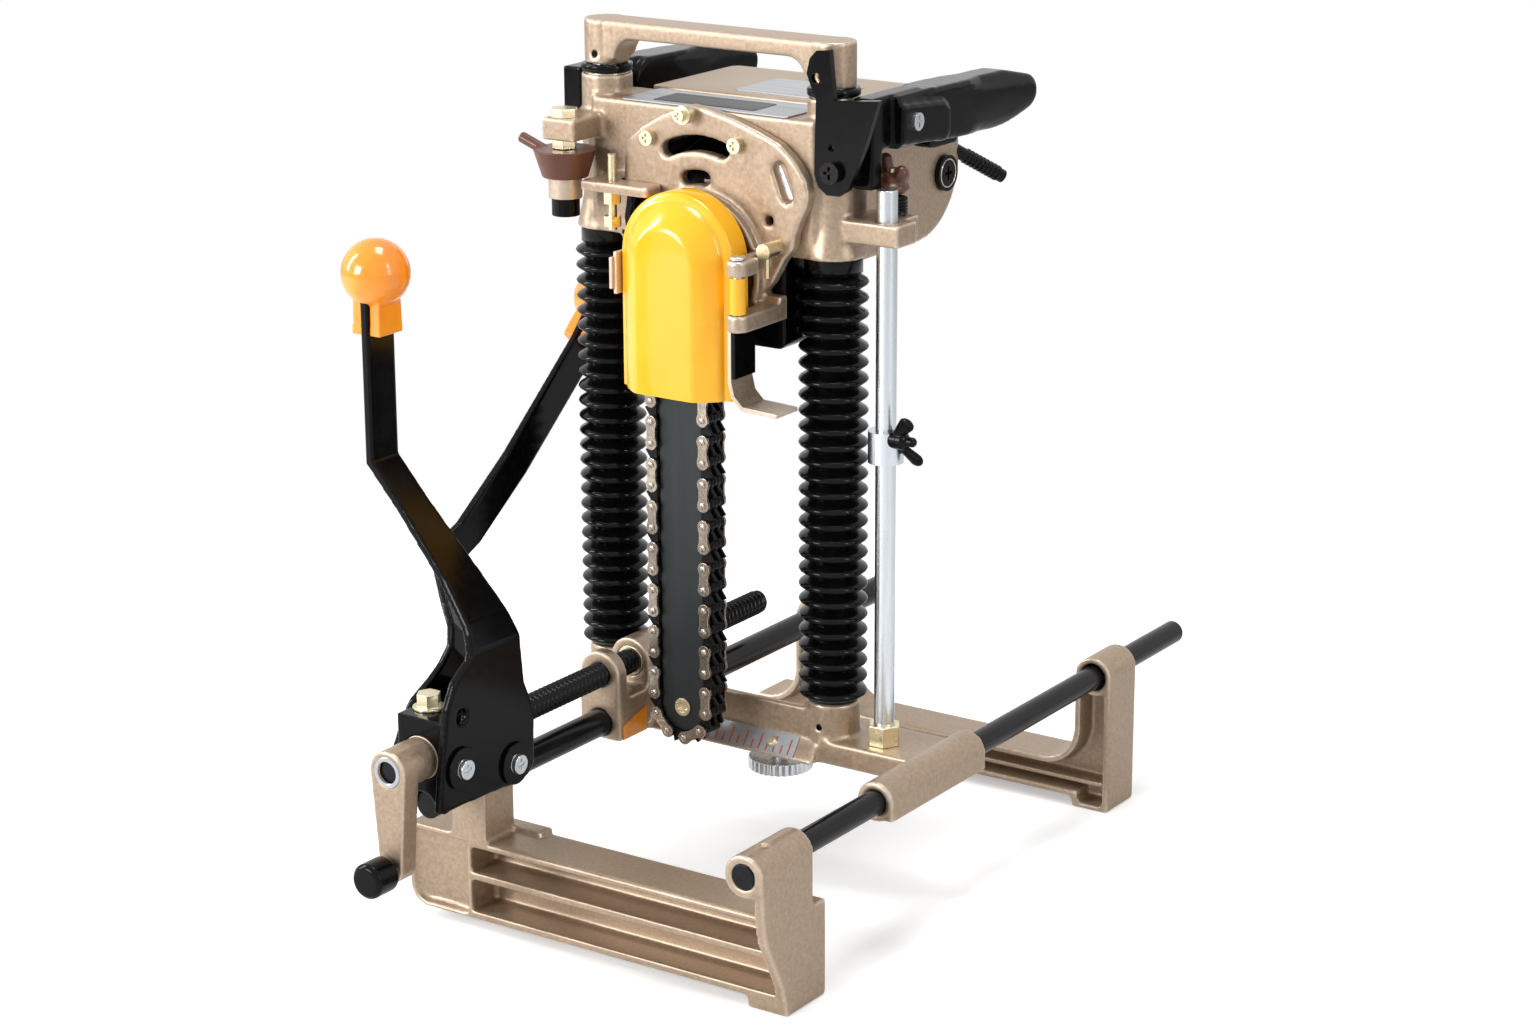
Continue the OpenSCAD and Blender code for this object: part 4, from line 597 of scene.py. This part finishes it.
class BuildCover(bpy.types.Operator):
    """Builds the moulded chain cover with its hinge pin"""

    bl_idname = "mortiser.build_cover"
    bl_label = "Chain cover"

    width = 75 * MM

    def execute(self, context):
        self.shell()
        self.knuckle()
        machined("cover_hinge_pin")
        machined("cover_thumb_screw")
        machined("chip_deflector", 0.3 * MM)
        machined("chip_guide", 0.3 * MM)
        return {"FINISHED"}

    def shell(self):
        """A moulded arch with a raised middle, open below and behind."""
        low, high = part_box("chain_cover")
        half = self.width / 2
        middle, top = low.x + half, high.z - half
        # Inset from the rim and distance before the back edge, from the back edge to the raised panel
        levels = [
            (0, 0), (0, 13.2), (0.5, 14.6), (1.6, 15.5), (3.6, 16), (4.6, 16.6), (5.2, 18), (6, 19.4),
            (9, 22.2), (13, 25.4), (16.2, 27.7), (18, 28.6), (20, 29),
        ]
        work = bmesh.new()
        rings = []
        for inset, ahead in levels:
            radius = half - inset * MM
            points = [(middle - radius, low.z + (top - low.z) * k / 6) for k in range(6)]
            points += arc((middle, top), radius, 41, -4.5, 180)
            points += [(middle + radius, top + (low.z - top) * k / 6) for k in range(1, 7)]
            rings.append([work.verts.new((x, high.y - ahead * MM, z)) for x, z in points])
        for before, after in zip(rings, rings[1:]):
            for k in range(len(before) - 1):
                work.faces.new((before[k], before[k + 1], after[k + 1], after[k]))
        work.faces.new(rings[-1])
        piece = from_bmesh("chain_cover_piece", work)
        wall = piece.modifiers.new("wall", "SOLIDIFY")
        wall.thickness = 2.2 * MM
        wall.offset = -1
        wall.use_even_offset = True
        settle(piece)
        stand_for(shade(piece, 32), "chain_cover")

    def knuckle(self):
        """The hinge's barrel round its pin, and the leaf that joins it to the shell."""
        low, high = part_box("chain_cover")
        x, y, side, radius = high.x - 4.5 * MM, -64 * MM, low.x + self.width, 4.5 * MM
        leaf = [
            (side - 1 * MM, -50 * MM), (side - 0.6 * MM, -54 * MM), (x - 3.4 * MM, y - 1 * MM),
            (x - 0.4 * MM, y + 3.4 * MM), (side + 1.6 * MM, -53 * MM), (side + 0.6 * MM, -50 * MM),
        ]
        pin_low, pin_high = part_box("cover_hinge_pin")
        foot, top = pin_low.z + 9.9 * MM, pin_high.z - 11.9 * MM
        barrel = arc((x, y), radius, 32, 11.25)
        hinge = solid("cover_knuckle", (barrel, foot, top), (leaf, foot + 0.8 * MM, top - 0.8 * MM))
        put_on(chamfered(hinge, 0.3 * MM), "chain_cover", "moulded_yellow_abs", SLOT_OF["chain_cover"])


class BuildLevers(bpy.types.Operator):
    """Builds the bent levers, their bracket, pivots and ball knobs"""

    bl_idname = "mortiser.build_levers"
    bl_label = "Levers"

    def execute(self, context):
        for node in ("front_lever", "rear_lever", "lever_bracket"):
            cast(node, 0.75 * MM, 6, 0.3)
        for node in ("front_lever_knob", "rear_lever_knob"):
            cast(node, 0.7 * MM, 4, 0.4)
        self.pivots()
        machined("crank_bush")
        machined("catch_plate", 0.4 * MM)
        cast("left_lock_lever", 0.6 * MM, 4, 0.5)
        self.lock_bolt()
        self.lobed_nut()
        return {"FINISHED"}

    def pivots(self):
        """Two pins with black washers, and a cross in each bright head."""
        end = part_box("lever_pivots")[1].x
        places = [(-0.211, 0.109), (-0.165, 0.0975)]
        heads = [((end, y, z), (1, 0, 0), 6.4, 1.5, 1.6) for y, z in places]
        piece = machined("lever_pivots", 0.3 * MM, heads)
        # The pins' own metal shows on their heads only; washers and all behind them are black
        piece.data.materials[0] = bpy.data.materials["stoved_black_enamel_on_steel"]
        repaint(
            piece, finish_for("lever_pivots"),
            lambda place: min(math.hypot(place.y - y, place.z - z) for y, z in places) < 5.6 * MM,
        )

    def lock_bolt(self):
        """Brass hexagons over a bronze barrel and a dark slotted end."""
        piece = machined("left_lock_bolt")
        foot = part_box("left_lock_bolt")[0].z
        socket, barrel = foot + 10.8 * MM, foot + 23 * MM
        repaint(piece, "enamelled_sand_cast_aluminium", lambda place: socket - 1 * MM < place.z < barrel)
        repaint(piece, "stoved_black_enamel_on_steel", lambda place: place.z <= socket)

    def lobed_nut(self):
        """A round nut with one tall thumb lobe and two low ones."""
        low, _, centre = extent("right_lock_lever")
        balls = [
            ((centre.x, centre.y, low.z + 3.6 * MM), (9.6 * MM, 9.6 * MM, 4.2 * MM)),
            ((centre.x, centre.y, low.z + 7.5 * MM), (6.6 * MM, 6.6 * MM, 5 * MM)),
        ]
        # The way each lobe points in degrees, its reach, its rise and its thickness
        for way, reach, rise, wide in ((150, 9, 12, 4.0), (-10, 6.4, 7, 4.2), (75, 7, 4, 4.2)):
            for step in range(7):
                part = step / 6
                x, y = arc(centre, (2 + (reach - 2) * part) * MM, 1, 0, way)[0]
                balls.append(((x, y, low.z + (5 + rise * part) * MM), (wide * MM,) * 3))
        blob("right_lock_lever", balls, 0.6 * MM)


class BuildRods(bpy.types.Operator):
    """Builds the guide rods, columns, stop rod and feed screw"""

    bl_idname = "mortiser.build_rods"
    bl_label = "Rods and screw"

    def execute(self, context):
        for node in (
            "right_guide_rod", "left_guide_rod", "columns", "stop_rod", "stop_rod_nut", "stop_collar",
            "feed_nut", "head_bushes", "column_pins", "spindle",
        ):
            machined(node)
        self.nose_bearing()
        self.feed_screw()
        self.wing_screw()
        return {"FINISHED"}

    def nose_bearing(self):
        """The brass bearing of the bar's nose, with a cross in its cap."""
        low, _, centre = extent("nose_bearing")
        cross = ((centre.x, low.y, centre.z), (0, -1, 0), 6, 2.2, 1.5)
        machined("nose_bearing", 0.5 * MM, [cross])

    def wing_screw(self):
        """A shank with a round hub and two ears spread from it."""
        low, high, centre = extent("stop_wing_screw")
        y, z, hub = centre.y, centre.z, high.x - 6 * MM
        balls = [((hub + x * MM, y, z), (3.4 * MM, 5.2 * MM, 5.2 * MM)) for x in (-3, -1, 1, 3)]
        balls += [((low.x + x * MM, y, z), (2.8 * MM, 2.9 * MM, 2.9 * MM)) for x in range(3, 14, 2)]
        turn = Matrix.Rotation(math.radians(25), 4, "X")
        for side in (-1, 1):
            for step in range(7):
                wide = (2.9 + 0.3 * step) * MM
                across = turn @ Vector((0, 0, side * (4 + 1.35 * step) * MM))
                place = Vector((hub + (0.4 + 1.3 * step) * MM, y, z)) + across
                balls.append((place, (wide, 1.9 * MM, wide), turn))
        blob("stop_wing_screw", balls, 0.55 * MM)

    def feed_screw(self):
        """A rod with one thread wound along it, plain at the crank's end."""
        low, high, centre = extent("feed_screw")
        radius, plain = (high.z - low.z) / 2, low.y + 40 * MM
        pitch, depth = sizes().thread_pitch, sizes().thread_depth
        sides, steps, taper = 24, 6, 0.8 * MM
        count = int((high.y - plain) / (pitch / steps))
        places = [low.y, low.y + 0.6 * MM, plain - pitch]
        places += [plain + i * pitch / steps for i in range(count)] + [high.y - 1.5 * MM, high.y]
        work = bmesh.new()
        rings = []
        for y in places:
            full = min(1.0, (high.y - y) / (4 * MM), (y - low.y) / (1 * MM))
            ring = []
            for k in range(sides):
                wave = 0.5 - 0.5 * math.cos(math.tau * (y / pitch - k / sides))
                cut = depth * wave if y >= plain else 0.0
                inset = cut + taper * (1 - full)
                x, z = arc((centre.x, centre.z), radius - inset, 1, 0, 360 * k / sides)[0]
                ring.append(work.verts.new((x, y, z)))
            rings.append(ring)
        skin(work, rings)
        stand_for(shade(from_bmesh("feed_screw_piece", work), 50), "feed_screw")


class BuildBellows(bpy.types.Operator):
    """Builds the two rubber bellows, the springs inside them and the rubber rings"""

    bl_idname = "mortiser.build_bellows"
    bl_label = "Bellows and springs"

    def execute(self, context):
        for side in ("left", "right"):
            self.bellows(side + "_bellows")
            self.fold(coil(side + "_spring", 1.6 * MM, 14), side + "_spring")
        coil("lock_spring", 2 * MM, 5)
        machined("bumper_rings", 1.2 * MM)
        machined("cord_guard", 0.4 * MM)
        return {"FINISHED"}

    def bellows(self, node):
        """Round ribs with narrow valleys up to a plain collar."""
        low, high, centre = extent(node)
        ribs, top = sizes().bellows_ribs, high.z - sizes().bellows_collar
        tip = (high.x - low.x) / 2
        depth = sizes().bellows_valley
        valley, pitch, points = tip - depth, (top - low.z) / ribs, 8
        outline = [(valley, low.z)]
        for i in range(ribs * points + 1):
            wave = 0.5 - 0.5 * math.cos(math.tau * i / points)
            outline.append((valley + depth * wave**0.75, low.z + pitch * i / points))
        collar, bore = valley + 2.2 * MM, valley - 1.2 * MM
        outline += [(collar, top + 1 * MM), (collar, high.z), (bore, high.z), (bore, low.z)]
        piece = lathe(node + "_piece", outline, (centre.x, centre.y, 0), "Z", 64)
        self.fold(stand_for(shade(piece, 75), node), node)

    def fold(self, piece, node):
        """Gives the piece a mesh of its own."""
        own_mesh(piece)


class BuildChain(bpy.types.Operator):
    """Builds the guide bar and the cutting chain link by link"""

    bl_idname = "mortiser.build_chain"
    bl_label = "Chain and bar"

    # The chain's middle in X and Y, its turning centres at sprocket and nose, and its path's radius
    middle, sprocket, nose, path_radius = (-8 * MM, -49 * MM), 357 * MM, 104 * MM, 17.6 * MM
    links = 50

    def execute(self, context):
        machined("guide_bar", 0.4 * MM)
        # Each layer of plates: its near and far side across the chain in millimetres, and its parity
        outer = [(-9, -7.2, 0), (7.2, 9, 0)]
        inner = [(-6.6, -5, 1), (-4.7, -1.9, 0), (-1.5, 1.5, 1), (1.9, 4.7, 0), (5, 6.6, 1)]
        stand_for(self.row("chain_piece", self.plate_outline(0), outer), "chain")
        cutters = self.row("chain_cutters", self.plate_outline(3.2 * MM), inner)
        put_on(cutters, "head", "blued_cutter_steel", SLOT_OF["chain"])
        put_on(self.rivets(), "head", "oiled_chain_steel", SLOT_OF["chain"])
        return {"FINISHED"}

    def joint_at(self, index):
        """Place of a rivet on the loop, in X and Z."""
        radius, straight = self.path_radius, self.sprocket - self.nose
        half = straight + math.pi * radius
        turned, way = divmod((index % self.links) * 2 * half / self.links, half)
        place = Vector((radius, way - straight / 2))
        if way > straight:
            angle = math.degrees((way - straight) / radius)
            place = Vector(arc((0, straight / 2), radius, 1, 0, angle)[0])
        # The way down is the way up, turned half round the loop's middle
        return Vector((self.middle[0], (self.nose + self.sprocket) / 2)) + (-place if turned else place)

    def plate_outline(self, tooth):
        """Two round ends with a waist between them, and a raked tooth on the outer side."""
        length = (self.joint_at(1) - self.joint_at(0)).length
        end, waist = (3.4 * MM, 2.4 * MM) if tooth else (3.9 * MM, 2.9 * MM)
        outline = arc((length, 0), end, 9, 27.5, -110)
        outline += [(length * 0.72, waist), (length * 0.28, waist)]
        outline += arc((0, 0), end, 9, 27.5, 70)
        if tooth:
            outline += [(length * 0.26, -waist), (length * 0.36, -waist - tooth), (length * 0.72, -waist)]
        else:
            outline += [(length * 0.28, -waist), (length * 0.72, -waist)]
        return outline

    def row(self, name, outline, layers):
        """Plates of one outline from joint to joint, each layer on every second link."""
        plates = []
        for i in range(self.links):
            p, q = self.joint_at(i), self.joint_at(i + 1)
            pose = (
                Matrix.Translation((p.x, self.middle[1], p.y))
                @ Matrix.Rotation(math.pi / 2, 4, "X")
                @ Matrix.Rotation(math.atan2(q.y - p.y, q.x - p.x), 4, "Z")
            )
            plates += [
                (outline, low * MM, high * MM, pose) for low, high, parity in layers if i % 2 == parity
            ]
        return chamfered(solid(name, *plates), 0.3 * MM)

    def rivets(self):
        """Headed rivets through every joint, with the roller between the plates."""
        half = [(2.9, 4.8), (1.8, 4.9), (1.8, 9.5), (1.2, 9.9)]
        profile = [(radius, -y) for radius, y in reversed(half)] + half
        sides = 14
        work = bmesh.new()
        for i in range(self.links):
            skin(work, [
                [
                    work.verts.new((x, self.middle[1] + y * MM, z))
                    for x, z in arc(self.joint_at(i), radius * MM, sides, 360 / sides)
                ]
                for radius, y in profile
            ])
        return shade(from_bmesh("chain_rivets", work), 35)


class BuildGrips(bpy.types.Operator):
    """Builds the moulded grips, trigger, crank knob and caps"""

    bl_idname = "mortiser.build_grips"
    bl_label = "Grips"

    # X, Z and the cross's span of each screw in the head, in millimetres; the last is the catch's
    crossed = ((-42, 426.5, 5.2), (17, 428, 5.2), (-14.5, 442.5, 4.4), (75, 418, 7))

    def execute(self, context):
        for node, side in (("left_grip", -1), ("right_grip", 1)):
            cast(node, 1.0 * MM, 16, 0.4, lambda piece: self.moulded(piece, *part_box(node), side))
        cast("trigger", 0.7 * MM, 14, 0.4)
        cast("crank_knob", 0.7 * MM, 3, 0.4)
        self.brush_caps()
        self.crank_end()
        for node in ("frame_screws", "scale_screw"):
            machined(node, 0.35 * MM)
        self.grip_screws()
        self.head_screws()
        for node in ("stator", "armature", "drive_gear", "scale_plate"):
            machined(node, 0.2 * MM)
        return {"FINISHED"}

    def moulded(self, piece, low, high, side):
        """Draws the grip's body round across, with an underside that rises to the tip."""
        middle = (high.x if side > 0 else low.x) - side * 14 * MM
        axis, half, reach = high.z - 18.5 * MM, 17 * MM, 76 * MM
        rise_from, deep, rise = 0.35, 16.8 * MM, 24 * MM
        for vertex in piece.data.vertices:
            place = vertex.co
            along = (place.y - high.y) / reach + 1
            if along <= 0:
                continue
            off = min(1.0, abs(place.z - axis) / half)
            drawn = min(1.0, along * 5) * (1 - math.sqrt(1 - 0.65 * off**2))
            place.x = middle + (place.x - middle) * (1 - drawn)
            if along > rise_from:
                place.z = max(place.z, axis - deep + rise * (along - rise_from) ** 2)

    def ring(self, name, section, place, axis, *look):
        """A thin ring of a section in millimetres, round a place."""
        section = [(radius * MM, height * MM) for radius, height in section]
        put_on(lathe(name, section, place, axis, 40), *look)

    def brush_caps(self):
        """Black caps with a raised rim and a cross for a driver."""
        low, high, centre = extent("brush_caps")
        y, z = centre.y, centre.z
        sides = ((high.x, 1), (low.x, -1))
        machined("brush_caps", 0.4 * MM, [((x, y, z), (side, 0, 0), 8, 1.8, 2) for x, side in sides])
        for x, side in sides:
            rim = [(7.4, -0.3 * side), (8.1, 0.4 * side), (8.8, -0.3 * side)]
            self.ring(
                "cap_rim", rim, (x - side * 0.1 * MM, y, z), "X", "head", "enamelled_sand_cast_aluminium",
                SLOT_OF["brush_caps"],
            )

    def crank_end(self):
        """The pale machined ring round the feed screw's end, in the crank's boss."""
        centre, face = extent("feed_screw")[2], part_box("crank_arm")[0].y
        section = [(6.2, 0.1), (6.6, -0.3), (8.4, -0.3), (8.8, 0.1)]
        place = (centre.x, face, centre.z)
        self.ring("crank_ring", section, place, "Y", "crank", "brushed_aluminium_plate", "steel")

    def head_screws(self):
        """Screws of the gear cover and the catch, crossed; the catch's is black."""
        crosses = []
        for x, z, span in self.crossed:
            front = surface_at("head_screws", (x * MM, -1, z * MM), (0, 1, 0))
            crosses.append((front, (0, -1, 0), span, span * 0.24, 1.5))
        piece = machined("head_screws", 0.35 * MM, crosses)
        catch = Vector((75, -20, 418)) * MM
        repaint(piece, "blued_cutter_steel", lambda place: (place - catch).length < 18 * MM)

    def grip_screws(self):
        """Round-headed screws with a cross in each head."""
        low, high, centre = extent("grip_screws")
        crosses = [
            ((x, centre.y, centre.z), (side, 0, 0), 6, 1.5, 1.6)
            for x, side in ((high.x, 1), (low.x, -1))
        ]
        machined("grip_screws", 0.3 * MM, crosses)


class AddPlates(bpy.types.Operator):
    """Adds the ruler's ticks, the bare label plates and the strips beside them"""

    bl_idname = "mortiser.add_plates"
    bl_label = "Plates and marks"

    # A pose whose outline lies in Y and Z, and is drawn along X
    across = Matrix(((0, 0, 1, 0), (1, 0, 0, 0), (0, 1, 0, 0), (0, 0, 0, 1)))

    def execute(self, context):
        self.ticks()
        top = surface_at("head_casting", (-0.01, -0.004, 1), (0, 0, -1)).z
        rear = surface_at("motor_housing", (0.02, 0.05, 1), (0, 0, -1)).z
        bright, dark = ("brushed_aluminium_plate", "steel"), ("black_anodised_sheet", "black_steel")
        # Left, near, right and far edge of each plate, its foot, thickness and corner radius
        self.sheet("head_plate", (-68, -23.5, 44, 14.5), top, 0.8, 2, bright)
        self.sheet("head_plate_panel", (-50, -18, 18, 6), top + 0.8 * MM, 0.25, 1.5, dark)
        self.sheet("housing_plate", (-25, 26, 34, 70), rear, 0.5, 2, bright)
        self.slot_arm()
        self.pointer_strip()
        self.cover_clip()
        return {"FINISHED"}

    def sheet(self, name, edges, foot, thickness, corner, look):
        """A thin plate with round corners, lying flat on the head."""
        x0, y0, x1, y1 = [edge * MM for edge in edges]
        thickness, r = thickness * MM, corner * MM
        outline = arc((x1 - r, y1 - r), r, 7, 15) + arc((x0 + r, y1 - r), r, 7, 15, 90)
        outline += arc((x0 + r, y0 + r), r, 7, 15, 180) + arc((x1 - r, y0 + r), r, 7, 15, 270)
        piece = solid(name, (outline, foot, foot + thickness))
        put_on(chamfered(piece, thickness * 0.2, 1), "head", *look)

    def slot_arm(self):
        """The plated arm that shows in the gear cover's side slot."""
        low, high = Vector((48.6, 400.8)) * MM, Vector((41.2, 416.4)) * MM
        angle = math.degrees(math.atan2(high.y - low.y, high.x - low.x))
        outline = arc(high, 2 * MM, 9, 22.5, angle - 90) + arc(low, 2 * MM, 9, 22.5, angle + 90)
        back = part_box("gear_cover")[1].y
        pose = Matrix(((1, 0, 0, 0), (0, 0, -1, back), (0, 1, 0, 0), (0, 0, 0, 1)))
        piece = solid("slot_arm", (outline, 0.2 * MM, 3.4 * MM, pose))
        put_on(chamfered(piece, 0.5 * MM), "head", "bright_zinc_plated_steel", "zinc")

    def pointer_strip(self):
        """The orange pointer along the lower front edge of the carriage's left block."""
        front = surface_at("carriage_base", (-0.052, -1, 0.078), (0, 1, 0)).y
        side = surface_at("carriage_base", (0, front + 5 * MM, 0.078), (-1, 0, 0)).x
        near, far, foot = front + 3 * MM, front + 26 * MM, 75.6 * MM
        strip = [(near, foot), (near, 84.2 * MM), (far, 90.5 * MM), (far, foot)]
        piece = solid("pointer_strip", (strip, side - 1 * MM, side + 0.8 * MM, self.across))
        put_on(chamfered(piece, 0.25 * MM), "carriage", "orange_enamel", "orange_plastic")

    def cover_clip(self):
        """The spring clip that holds the chain cover shut at its left side."""
        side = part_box("chain_cover")[0].x
        # X from the cover's side, Y and Z of the clip's leaf, its lip and the web between them
        leaf, lip = (-2.6, -0.4, -60, -46, 342, 366), (-4.2, -2.2, -62, -58, 345, 363)
        web = (-4.2, -0.4, -48, -45, 350, 358)
        parts = []
        for x0, x1, y0, y1, z0, z1 in (leaf, lip, web):
            outline = [(y * MM, z * MM) for y, z in ((y0, z0), (y1, z0), (y1, z1), (y0, z1))]
            parts.append((outline, side + x0 * MM, side + x1 * MM, self.across))
        piece = chamfered(solid("cover_clip", *parts), 0.5 * MM)
        put_on(piece, "chain_cover", "enamelled_sand_cast_aluminium", "bronze_paint")

    def ticks(self):
        """Red ticks every 10 mm, with shorter ones between, printed on the ruler's slope."""
        ruler = NODES["scale_plate"].data
        face = max((f for f in ruler.polygons if f.normal.z > 0.3), key=lambda f: f.area)
        up, along = face.normal.copy(), Vector((1, 0, 0))
        rise = up.cross(along)
        low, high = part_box("scale_plate")
        base = face.center - face.center.dot(rise) * rise
        bottom = min(v.co.dot(rise) for v in ruler.vertices if (v.co - face.center).dot(up) > -1e-5)
        half, ticks = 0.45 * MM, []
        for i in range(int((high.x - low.x) / (5 * MM)) - 1):
            tall = (9.5 if i % 2 == 0 else 5) * MM
            pose = Matrix((along, rise, up)).transposed().to_4x4()
            foot = Vector((high.x - (4 + 5 * i) * MM, base.y, base.z))
            pose.translation = foot + (bottom + 0.8 * MM) * rise
            ticks.append(([(-half, 0), (half, 0), (half, tall), (-half, tall)], 0, 0.08 * MM, pose))
        put_on(solid("scale_ticks", *ticks), "carriage", "screen_printing_ink", "orange_plastic")


class SetStage(bpy.types.Operator):
    """Sets the floor, the soft lights, the white background and the camera"""

    bl_idname = "mortiser.set_stage"
    bl_label = "Stage"

    def execute(self, context):
        self.floor()
        self.world()
        self.lamp("front_box", (-1.0, -2.3, 0.95), (0.9, 0.9), 43)
        self.lamp("left_strip", (-1.7, -0.9, 1.1), (0.14, 1.4), 24)
        self.lamp("right_strip", (1.9, -0.3, 1.0), (0.1, 1.4), 9)
        self.lamp("top_box", (0.1, 0.1, 2.2), (0.9, 0.6), 20)
        self.camera()
        bpy.context.scene.view_settings.view_transform = "Standard"
        return {"FINISHED"}

    def floor(self):
        bpy.ops.mesh.primitive_plane_add(size=12, location=(0, 0, -0.3 * MM))
        floor = bpy.context.object
        floor.name = "floor"
        material = bpy.data.materials.new("white_paper_sweep")
        tree = bare_tree(material)
        ray = add(tree, "LightPath")
        lit = add(tree, "BsdfDiffuse", {"Color": colour("#F4F4F4")})
        glow = add(tree, "Emission", {"Color": (1, 1, 1, 1), "Strength": 0.36})
        both = add(tree, "AddShader", {0: (lit, 0), 1: (glow, 0)})
        # The paper runs out to plain white away from the machine
        place = add(tree, "NewGeometry")
        reach = add(tree, "VectorMath", {0: (place, "Position")}, operation="LENGTH")
        away = add(
            tree, "MapRange",
            {"Value": (reach, "Value"), "From Min": 0.45, "From Max": 0.9, "To Min": 0.0, "To Max": 1.0},
            interpolation_type="SMOOTHSTEP",
        )
        bright = add(tree, "Emission", {"Color": (1, 1, 1, 1), "Strength": 1.0})
        paper = add(tree, "MixShader", {0: (away, "Result"), 1: (both, 0), 2: (bright, 0)})
        seen = add(tree, "MixShader", {0: (ray, "Is Camera Ray"), 1: (lit, 0), 2: (paper, 0)})
        add(tree, "OutputMaterial", {"Surface": (seen, 0)})
        floor.data.materials.append(material)

    def world(self):
        world = bpy.data.worlds.new("white_room")
        bpy.context.scene.world = world
        tree = bare_tree(world)
        ray = add(tree, "LightPath")
        most = {"operation": "MAXIMUM"}
        mirror = add(tree, "Math", {0: (ray, "Is Camera Ray"), 1: (ray, "Is Glossy Ray")}, **most)
        seen = add(tree, "Math", {0: (mirror, 0), 1: (ray, "Is Transmission Ray")}, **most)
        light = add(tree, "Background", {"Color": (1, 1, 1, 1), "Strength": 0.36})
        white = add(tree, "Background", {"Color": (1, 1, 1, 1), "Strength": 1.0})
        room = add(tree, "MixShader", {0: (seen, 0), 1: (light, 0), 2: (white, 0)})
        add(tree, "OutputWorld", {"Surface": (room, 0)})

    def lamp(self, name, place, size, watts):
        """A soft box that looks at the middle of the machine."""
        data = bpy.data.lights.new(name, "AREA")
        data.shape = "RECTANGLE"
        data.size, data.size_y = size
        data.energy = watts
        lamp = bpy.data.objects.new(name, data)
        bpy.context.scene.collection.objects.link(lamp)
        lamp.location = place
        aim = Vector((0, 0, 0.22)) - Vector(place)
        lamp.rotation_euler = aim.to_track_quat("-Z", "Y").to_euler()

    def camera(self):
        """The photograph's viewpoint: right of the front and above, with a long lens."""
        data = bpy.data.cameras.new("camera")
        data.sensor_width = 36
        data.lens = 81.4
        camera = bpy.data.objects.new("camera", data)
        bpy.context.scene.collection.objects.link(camera)
        bpy.context.scene.camera = camera
        yaw, down, roll = math.radians(34.07), math.radians(16.67), math.radians(-0.23)
        ahead = Vector((-math.sin(yaw) * math.cos(down), math.cos(yaw) * math.cos(down), -math.sin(down)))
        level = Vector((math.cos(yaw), math.sin(yaw), 0))
        above = level.cross(ahead)
        right = math.cos(roll) * level + math.sin(roll) * above
        up = right.cross(ahead)
        turn = Matrix((right, up, -ahead)).transposed().to_4x4()
        camera.matrix_world = Matrix.Translation((1.0801, -1.5757, 0.78)) @ turn


PIECES = (
    MixFinishes, BuildCastings, BuildCover, BuildLevers, BuildRods, BuildBellows, BuildChain, BuildGrips,
    AddPlates, SetStage,
)


class MortiserPanel(bpy.types.Panel):
    """Lists the groups of pieces with their sizes and colours"""

    bl_idname = "VIEW3D_PT_mortiser"
    bl_label = "Chain mortiser"
    bl_space_type = "VIEW_3D"
    bl_region_type = "UI"
    bl_category = "Mortiser"

    def draw(self, context):
        for group in (context.scene.mortiser_colours, context.scene.mortiser_sizes):
            for name in group.__annotations__:
                self.layout.prop(group, name)
        for piece in PIECES:
            self.layout.operator(piece.bl_idname)


CLASSES = (MortiserColours, MortiserSizes, *PIECES, MortiserPanel)


def register():
    for cls in CLASSES:
        bpy.utils.register_class(cls)
    bpy.types.Scene.mortiser_colours = PointerProperty(type=MortiserColours)
    bpy.types.Scene.mortiser_sizes = PointerProperty(type=MortiserSizes)


def unregister():
    del bpy.types.Scene.mortiser_sizes
    del bpy.types.Scene.mortiser_colours
    for cls in reversed(CLASSES):
        bpy.utils.unregister_class(cls)


def main():
    register()
    bpy.ops.mortiser.mix_finishes()
    bpy.ops.mortiser.build_castings()
    bpy.ops.mortiser.build_cover()
    bpy.ops.mortiser.build_levers()
    bpy.ops.mortiser.build_rods()
    bpy.ops.mortiser.build_bellows()
    bpy.ops.mortiser.build_chain()
    bpy.ops.mortiser.build_grips()
    bpy.ops.mortiser.add_plates()
    bpy.ops.mortiser.set_stage()


if __name__ == "__main__":
    main()
